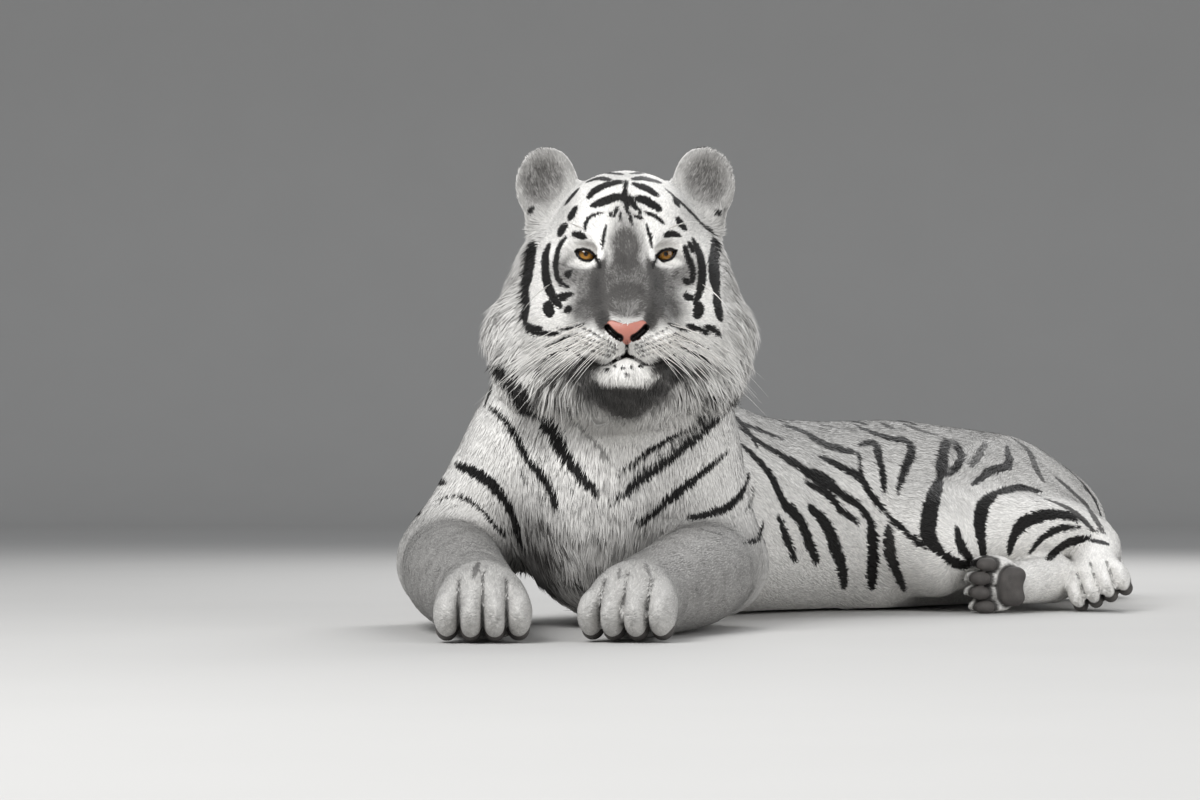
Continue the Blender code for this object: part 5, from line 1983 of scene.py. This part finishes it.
def hang_lamps(key_power):
    for name, place, size, share in LAMPS:
        lamp = bpy.data.lights.new(name, "AREA")
        lamp.energy = key_power * share
        lamp.size = size
        hung = bpy.data.objects.new(name, lamp)
        hung.location = Vector(place) + HOME
        hung.rotation_euler = (LIT + HOME - hung.location).to_track_quat("-Z", "Y").to_euler()
        bpy.context.scene.collection.objects.link(hung)


def studio_light():
    """The soft light that comes from all round."""
    world = bpy.data.worlds.new("studio")
    world.use_nodes = True
    world.node_tree.nodes["Background"].inputs["Color"].default_value = SKY_COLOUR
    world.node_tree.nodes["Background"].inputs["Strength"].default_value = SKY_STRENGTH
    return world


def held_camera():
    camera = bpy.data.cameras.new("camera")
    camera.lens = LENS
    camera.sensor_width = SENSOR
    camera.sensor_fit = "HORIZONTAL"
    held = bpy.data.objects.new("camera", camera)
    held.location = Vector(SIGHTED_FROM) + HOME
    held.rotation_euler = (math.radians(90) + math.atan(LOOKS_UP), 0, 0)
    bpy.context.scene.collection.objects.link(held)
    return held


# ---- What a user may change
def colour(name, description, hex_colour):
    given = linear(hex_colour)
    return FloatVectorProperty(
        name=name, description=description, subtype="COLOR", size=3, min=0, max=1, default=given
    )


class TigerCoatSettings(bpy.types.PropertyGroup):
    fur_colour: colour("Fur", "The pale ground of the coat", "EFEDE9")
    # The shade colour also gives the painted shade at the roots of the locks.
    shade_colour: colour("Shade", "The grey of the face's middle and of the hairs' roots", "504E4C")
    stripe_colour: colour("Stripes", "The bands and bars", "0F0D0C")
    nose_colour: colour("Nose", "The bare leather of the nose", "BE7C6F")
    lock_length: FloatProperty(
        name="Lock length", description="Times the natural length", default=1.0, min=0.3, max=2.0
    )
    crowding: FloatProperty(
        name="Crowding", description="Times the natural number of locks", default=1.0, min=0.02, max=1.1
    )


class TigerFaceSettings(bpy.types.PropertyGroup):
    iris_colour: colour("Iris", "The fibres of the iris", "F0B030")
    whisker_length: FloatProperty(
        name="Whiskers",
        description="The longest whisker",
        default=0.150,
        unit="LENGTH",
        subtype="DISTANCE",
    )


class TigerStageSettings(bpy.types.PropertyGroup):
    floor_colour: colour("Floor", "The painted floor and backdrop", "C4C3C1")
    key_power: FloatProperty(
        name="Key lamp",
        description="Power of the main soft lamp",
        default=150.0,
        unit="POWER",
        subtype="POWER",
    )


def face_triangles(mesh):
    mesh.calc_loop_triangles()
    found = np.empty(len(mesh.loop_triangles) * 3, np.int32)
    mesh.loop_triangles.foreach_get("vertices", found)
    return found.reshape(-1, 3)


class TIGER_OT_skin(bpy.types.Operator):
    """Makes the skin in one piece, with its lids, nose leather and lips, and its markings"""

    bl_idname = "tiger.skin"
    bl_label = "Skin"

    def execute(self, context):
        settings = context.scene.tiger_coat
        points, quads, triangles = skin_mesh()
        made = new_mesh("skin", points, quads, triangles)
        normals = normals_of(made)
        tree = BVHTree.FromPolygons(points.tolist(), quads.tolist() + triangles.tolist())
        found = forms(points)
        share = shares(found)
        rows = coat_row(points, found)
        q = head_places(points)
        u, v = sighted(q)
        by_eye = np.where(q[:, 1] > -0.02, lens_far(q[:, 0] - EYE[0], q[:, 2]), 1.0)
        mouth = np.where(q[:, 1] > 0.03, line_far(u, v, MOUTH), 1.0)
        leather = nose_far(q)
        lip = lips(q, mouth, by_eye)
        clear = np.clip((by_eye - 0.001) / 0.010, 0, 1)
        fringe = fringe_share(points)
        # low_breast is where painted shade is laid between the forelegs; the hair there also grows longer and
        # streakier.
        low_breast = between_forelegs(points) * share["trunk"]
        length = rows[:, 1] * (0.45 + 0.55 * clear) + 0.016 * fringe + 0.018 * low_breast
        length = length * (0.35 + 0.65 * np.clip(mouth / 0.011, 0, 1))
        lie = combed(points, normals, found, clear)
        faces = np.concatenate([quads[:, (0, 1, 2)], quads[:, (0, 2, 3)], triangles])
        give_markings(made, points, normals, found, tree, faces, lie, length)
        give(made, "lip", lip)
        # hole marks the nostrils, where the nose leather is given near black painted shade.
        give(made, "hole", np.clip((0.0064 - line_far(u, v, NOSTRIL)) / 0.0018, 0, 1))
        give(made, "grows", growing(points, normals, by_eye, leather, lip))
        give(made, "lie", lie, "FLOAT_VECTOR")
        give(made, "length", length)
        give(made, "width", rows[:, 2])
        give(made, "lift", rows[:, 3] * (0.8 + 0.2 * clear))
        give(made, "spacing", rows[:, 4])
        give(made, "stand", np.clip(rows[:, 1] / 0.030, 0.25, 0.8))
        give(made, "streak", streaks_of(points, share, low_breast, fringe))
        give(made, "kind", kinds_of(points, share))
        by_face = np.concatenate([leather[quads].max(1), leather[triangles].max(1)])
        made.data.polygons.foreach_set("material_index", (by_face < BARE_NOSE).astype(np.int32))
        wear(made, "coat", undercoat(settings), nose_leather(settings))
        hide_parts(*[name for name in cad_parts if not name.startswith("eye")])
        return {"FINISHED"}


class TIGER_OT_coat(bpy.types.Operator):
    """Grows the locks of one region of the coat from the skin"""

    bl_idname = "tiger.coat"
    bl_label = "Coat"

    region: StringProperty(name="Region", description="The piece of the coat to grow", default="coat_face")

    def execute(self, context):
        settings = context.scene.tiger_coat
        made = bpy.data.objects["skin"]
        points, normals = points_of(made), normals_of(made)
        names = ("ink", "dark", "grey", "length", "width", "lift", "spacing", "grows")
        names += ("middle_ink", "tip_ink", "middle_grey", "tip_grey", "middle_dark")
        names += ("middle_rise", "tip_rise", "stand", "streak")
        values = {name: read(made, name) for name in names}
        values["lie"] = read(made, "lie", 3)
        faces = face_triangles(made.data)
        kind = read(made, "kind").astype(int)[faces[:, 0]]
        chosen = np.isin(kind, [COAT_NAMES.index(name) for name in PIECES[self.region]])
        if self.region.startswith("coat_flank"):
            _, (_, side, _) = along_trunk(points[faces[:, 0]])
            chosen &= (side > 0) == self.region.endswith("left")
        seed = sorted(PIECES).index(self.region) + 11
        rng = np.random.default_rng(seed)
        crowding = settings.crowding * THINNED.get(self.region, 1.0) * 1.0
        at = grown(rng, faces, points, normals, values, chosen, crowding)
        at["length"] = at["length"] * settings.lock_length
        if not len(at["root"]):
            raise RuntimeError("no locks grew on " + self.region)
        rows = faces[chosen]
        box = points[rows].reshape(-1, 3).min(0), points[rows].reshape(-1, 3).max(0)
        coat = locks(self.region, rng, at, box, self.region in LONG)
        hair = bpy.data.materials.get("white_guard_hair") or guard_hair(settings)
        wear(coat, "coat", hair)
        print(self.region, len(at["root"]), "locks", len(coat.data.polygons), "triangles")
        return {"FINISHED"}


class TIGER_OT_eyes(bpy.types.Operator):
    """Makes both eyeballs with their corneas and the black rims of the lids"""

    bl_idname = "tiger.eyes"
    bl_label = "Eyes"

    def execute(self, context):
        iris = iris_tissue(context.scene.tiger_face)
        dome, black = clear_cornea(), lid_rim()
        for side, name in ((-1, "right"), (1, "left")):
            ball = eyeball(side, "eyeball_" + name)
            wear(ball, "eye", iris)
            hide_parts("eye_" + name)
            wear(cornea(side, "cornea_" + name), "eye", dome)
            wear(rim(side, "lid_rim_" + name), "eye", black)
        return {"FINISHED"}


class TIGER_OT_pads(bpy.types.Operator):
    """Makes the leather pads on the soles"""

    bl_idname = "tiger.pads"
    bl_label = "Sole pads"

    def execute(self, context):
        wear(pads(), "pads", sole_leather())
        return {"FINISHED"}


class TIGER_OT_whiskers(bpy.types.Operator):
    """Sets the whiskers in the lip pads and over the eyes"""

    bl_idname = "tiger.whiskers"
    bl_label = "Whiskers"

    def execute(self, context):
        under = bpy.data.objects["skin"]
        tree = BVHTree.FromPolygons(points_of(under).tolist(), face_triangles(under.data).tolist())
        starts, ways, lengths = whisker_roots(context.scene.tiger_face.whisker_length)
        places, met = laid_on(tree, starts, np.tile((0, 1.0, 0), (len(starts), 1)))
        ways, lengths = np.array(ways)[met], np.array(lengths)[met]
        made = bristles("whiskers", places[met], ways, lengths, 0.00055)
        wear(made, "whiskers", whisker_bristle())
        return {"FINISHED"}


class TIGER_OT_stage(bpy.types.Operator):
    """Sets the floor, the backdrop, the soft lamps and the camera"""

    bl_idname = "tiger.stage"
    bl_label = "Stage"

    def execute(self, context):
        settings = context.scene.tiger_stage
        floor_mesh(settings)
        hang_lamps(settings.key_power)
        context.scene.world = studio_light()
        context.scene.camera = held_camera()
        context.scene.view_settings.view_transform = "Standard"
        return {"FINISHED"}


class TIGER_PT_panel(bpy.types.Panel):
    """The tiger's sizes, colours and parts"""

    bl_idname = "TIGER_PT_panel"
    bl_label = "White tiger"
    bl_space_type = "VIEW_3D"
    bl_region_type = "UI"
    bl_category = "Tiger"

    def draw(self, context):
        for group in ("tiger_coat", "tiger_face", "tiger_stage"):
            settings = getattr(context.scene, group)
            box = self.layout.box()
            for name in settings.bl_rna.properties.keys():
                if name not in ("rna_type", "name"):
                    box.prop(settings, name)
        for operator in OPERATORS:
            self.layout.operator(operator.bl_idname)


GROUPS = {"tiger_coat": TigerCoatSettings, "tiger_face": TigerFaceSettings, "tiger_stage": TigerStageSettings}
OPERATORS = (TIGER_OT_skin, TIGER_OT_coat, TIGER_OT_eyes, TIGER_OT_pads, TIGER_OT_whiskers, TIGER_OT_stage)


def register():
    for made in (*GROUPS.values(), *OPERATORS, TIGER_PT_panel):
        bpy.utils.register_class(made)
    for name, group in GROUPS.items():
        setattr(bpy.types.Scene, name, PointerProperty(type=group))


def unregister():
    for name in GROUPS:
        delattr(bpy.types.Scene, name)
    for made in (TIGER_PT_panel, *OPERATORS[::-1], *list(GROUPS.values())[::-1]):
        bpy.utils.unregister_class(made)


def main():
    register()
    bpy.ops.tiger.skin()
    for region in PIECES:
        bpy.ops.tiger.coat(region=region)
    bpy.ops.tiger.eyes()
    bpy.ops.tiger.pads()
    bpy.ops.tiger.whiskers()
    bpy.ops.tiger.stage()


if __name__ == "__main__":
    main()
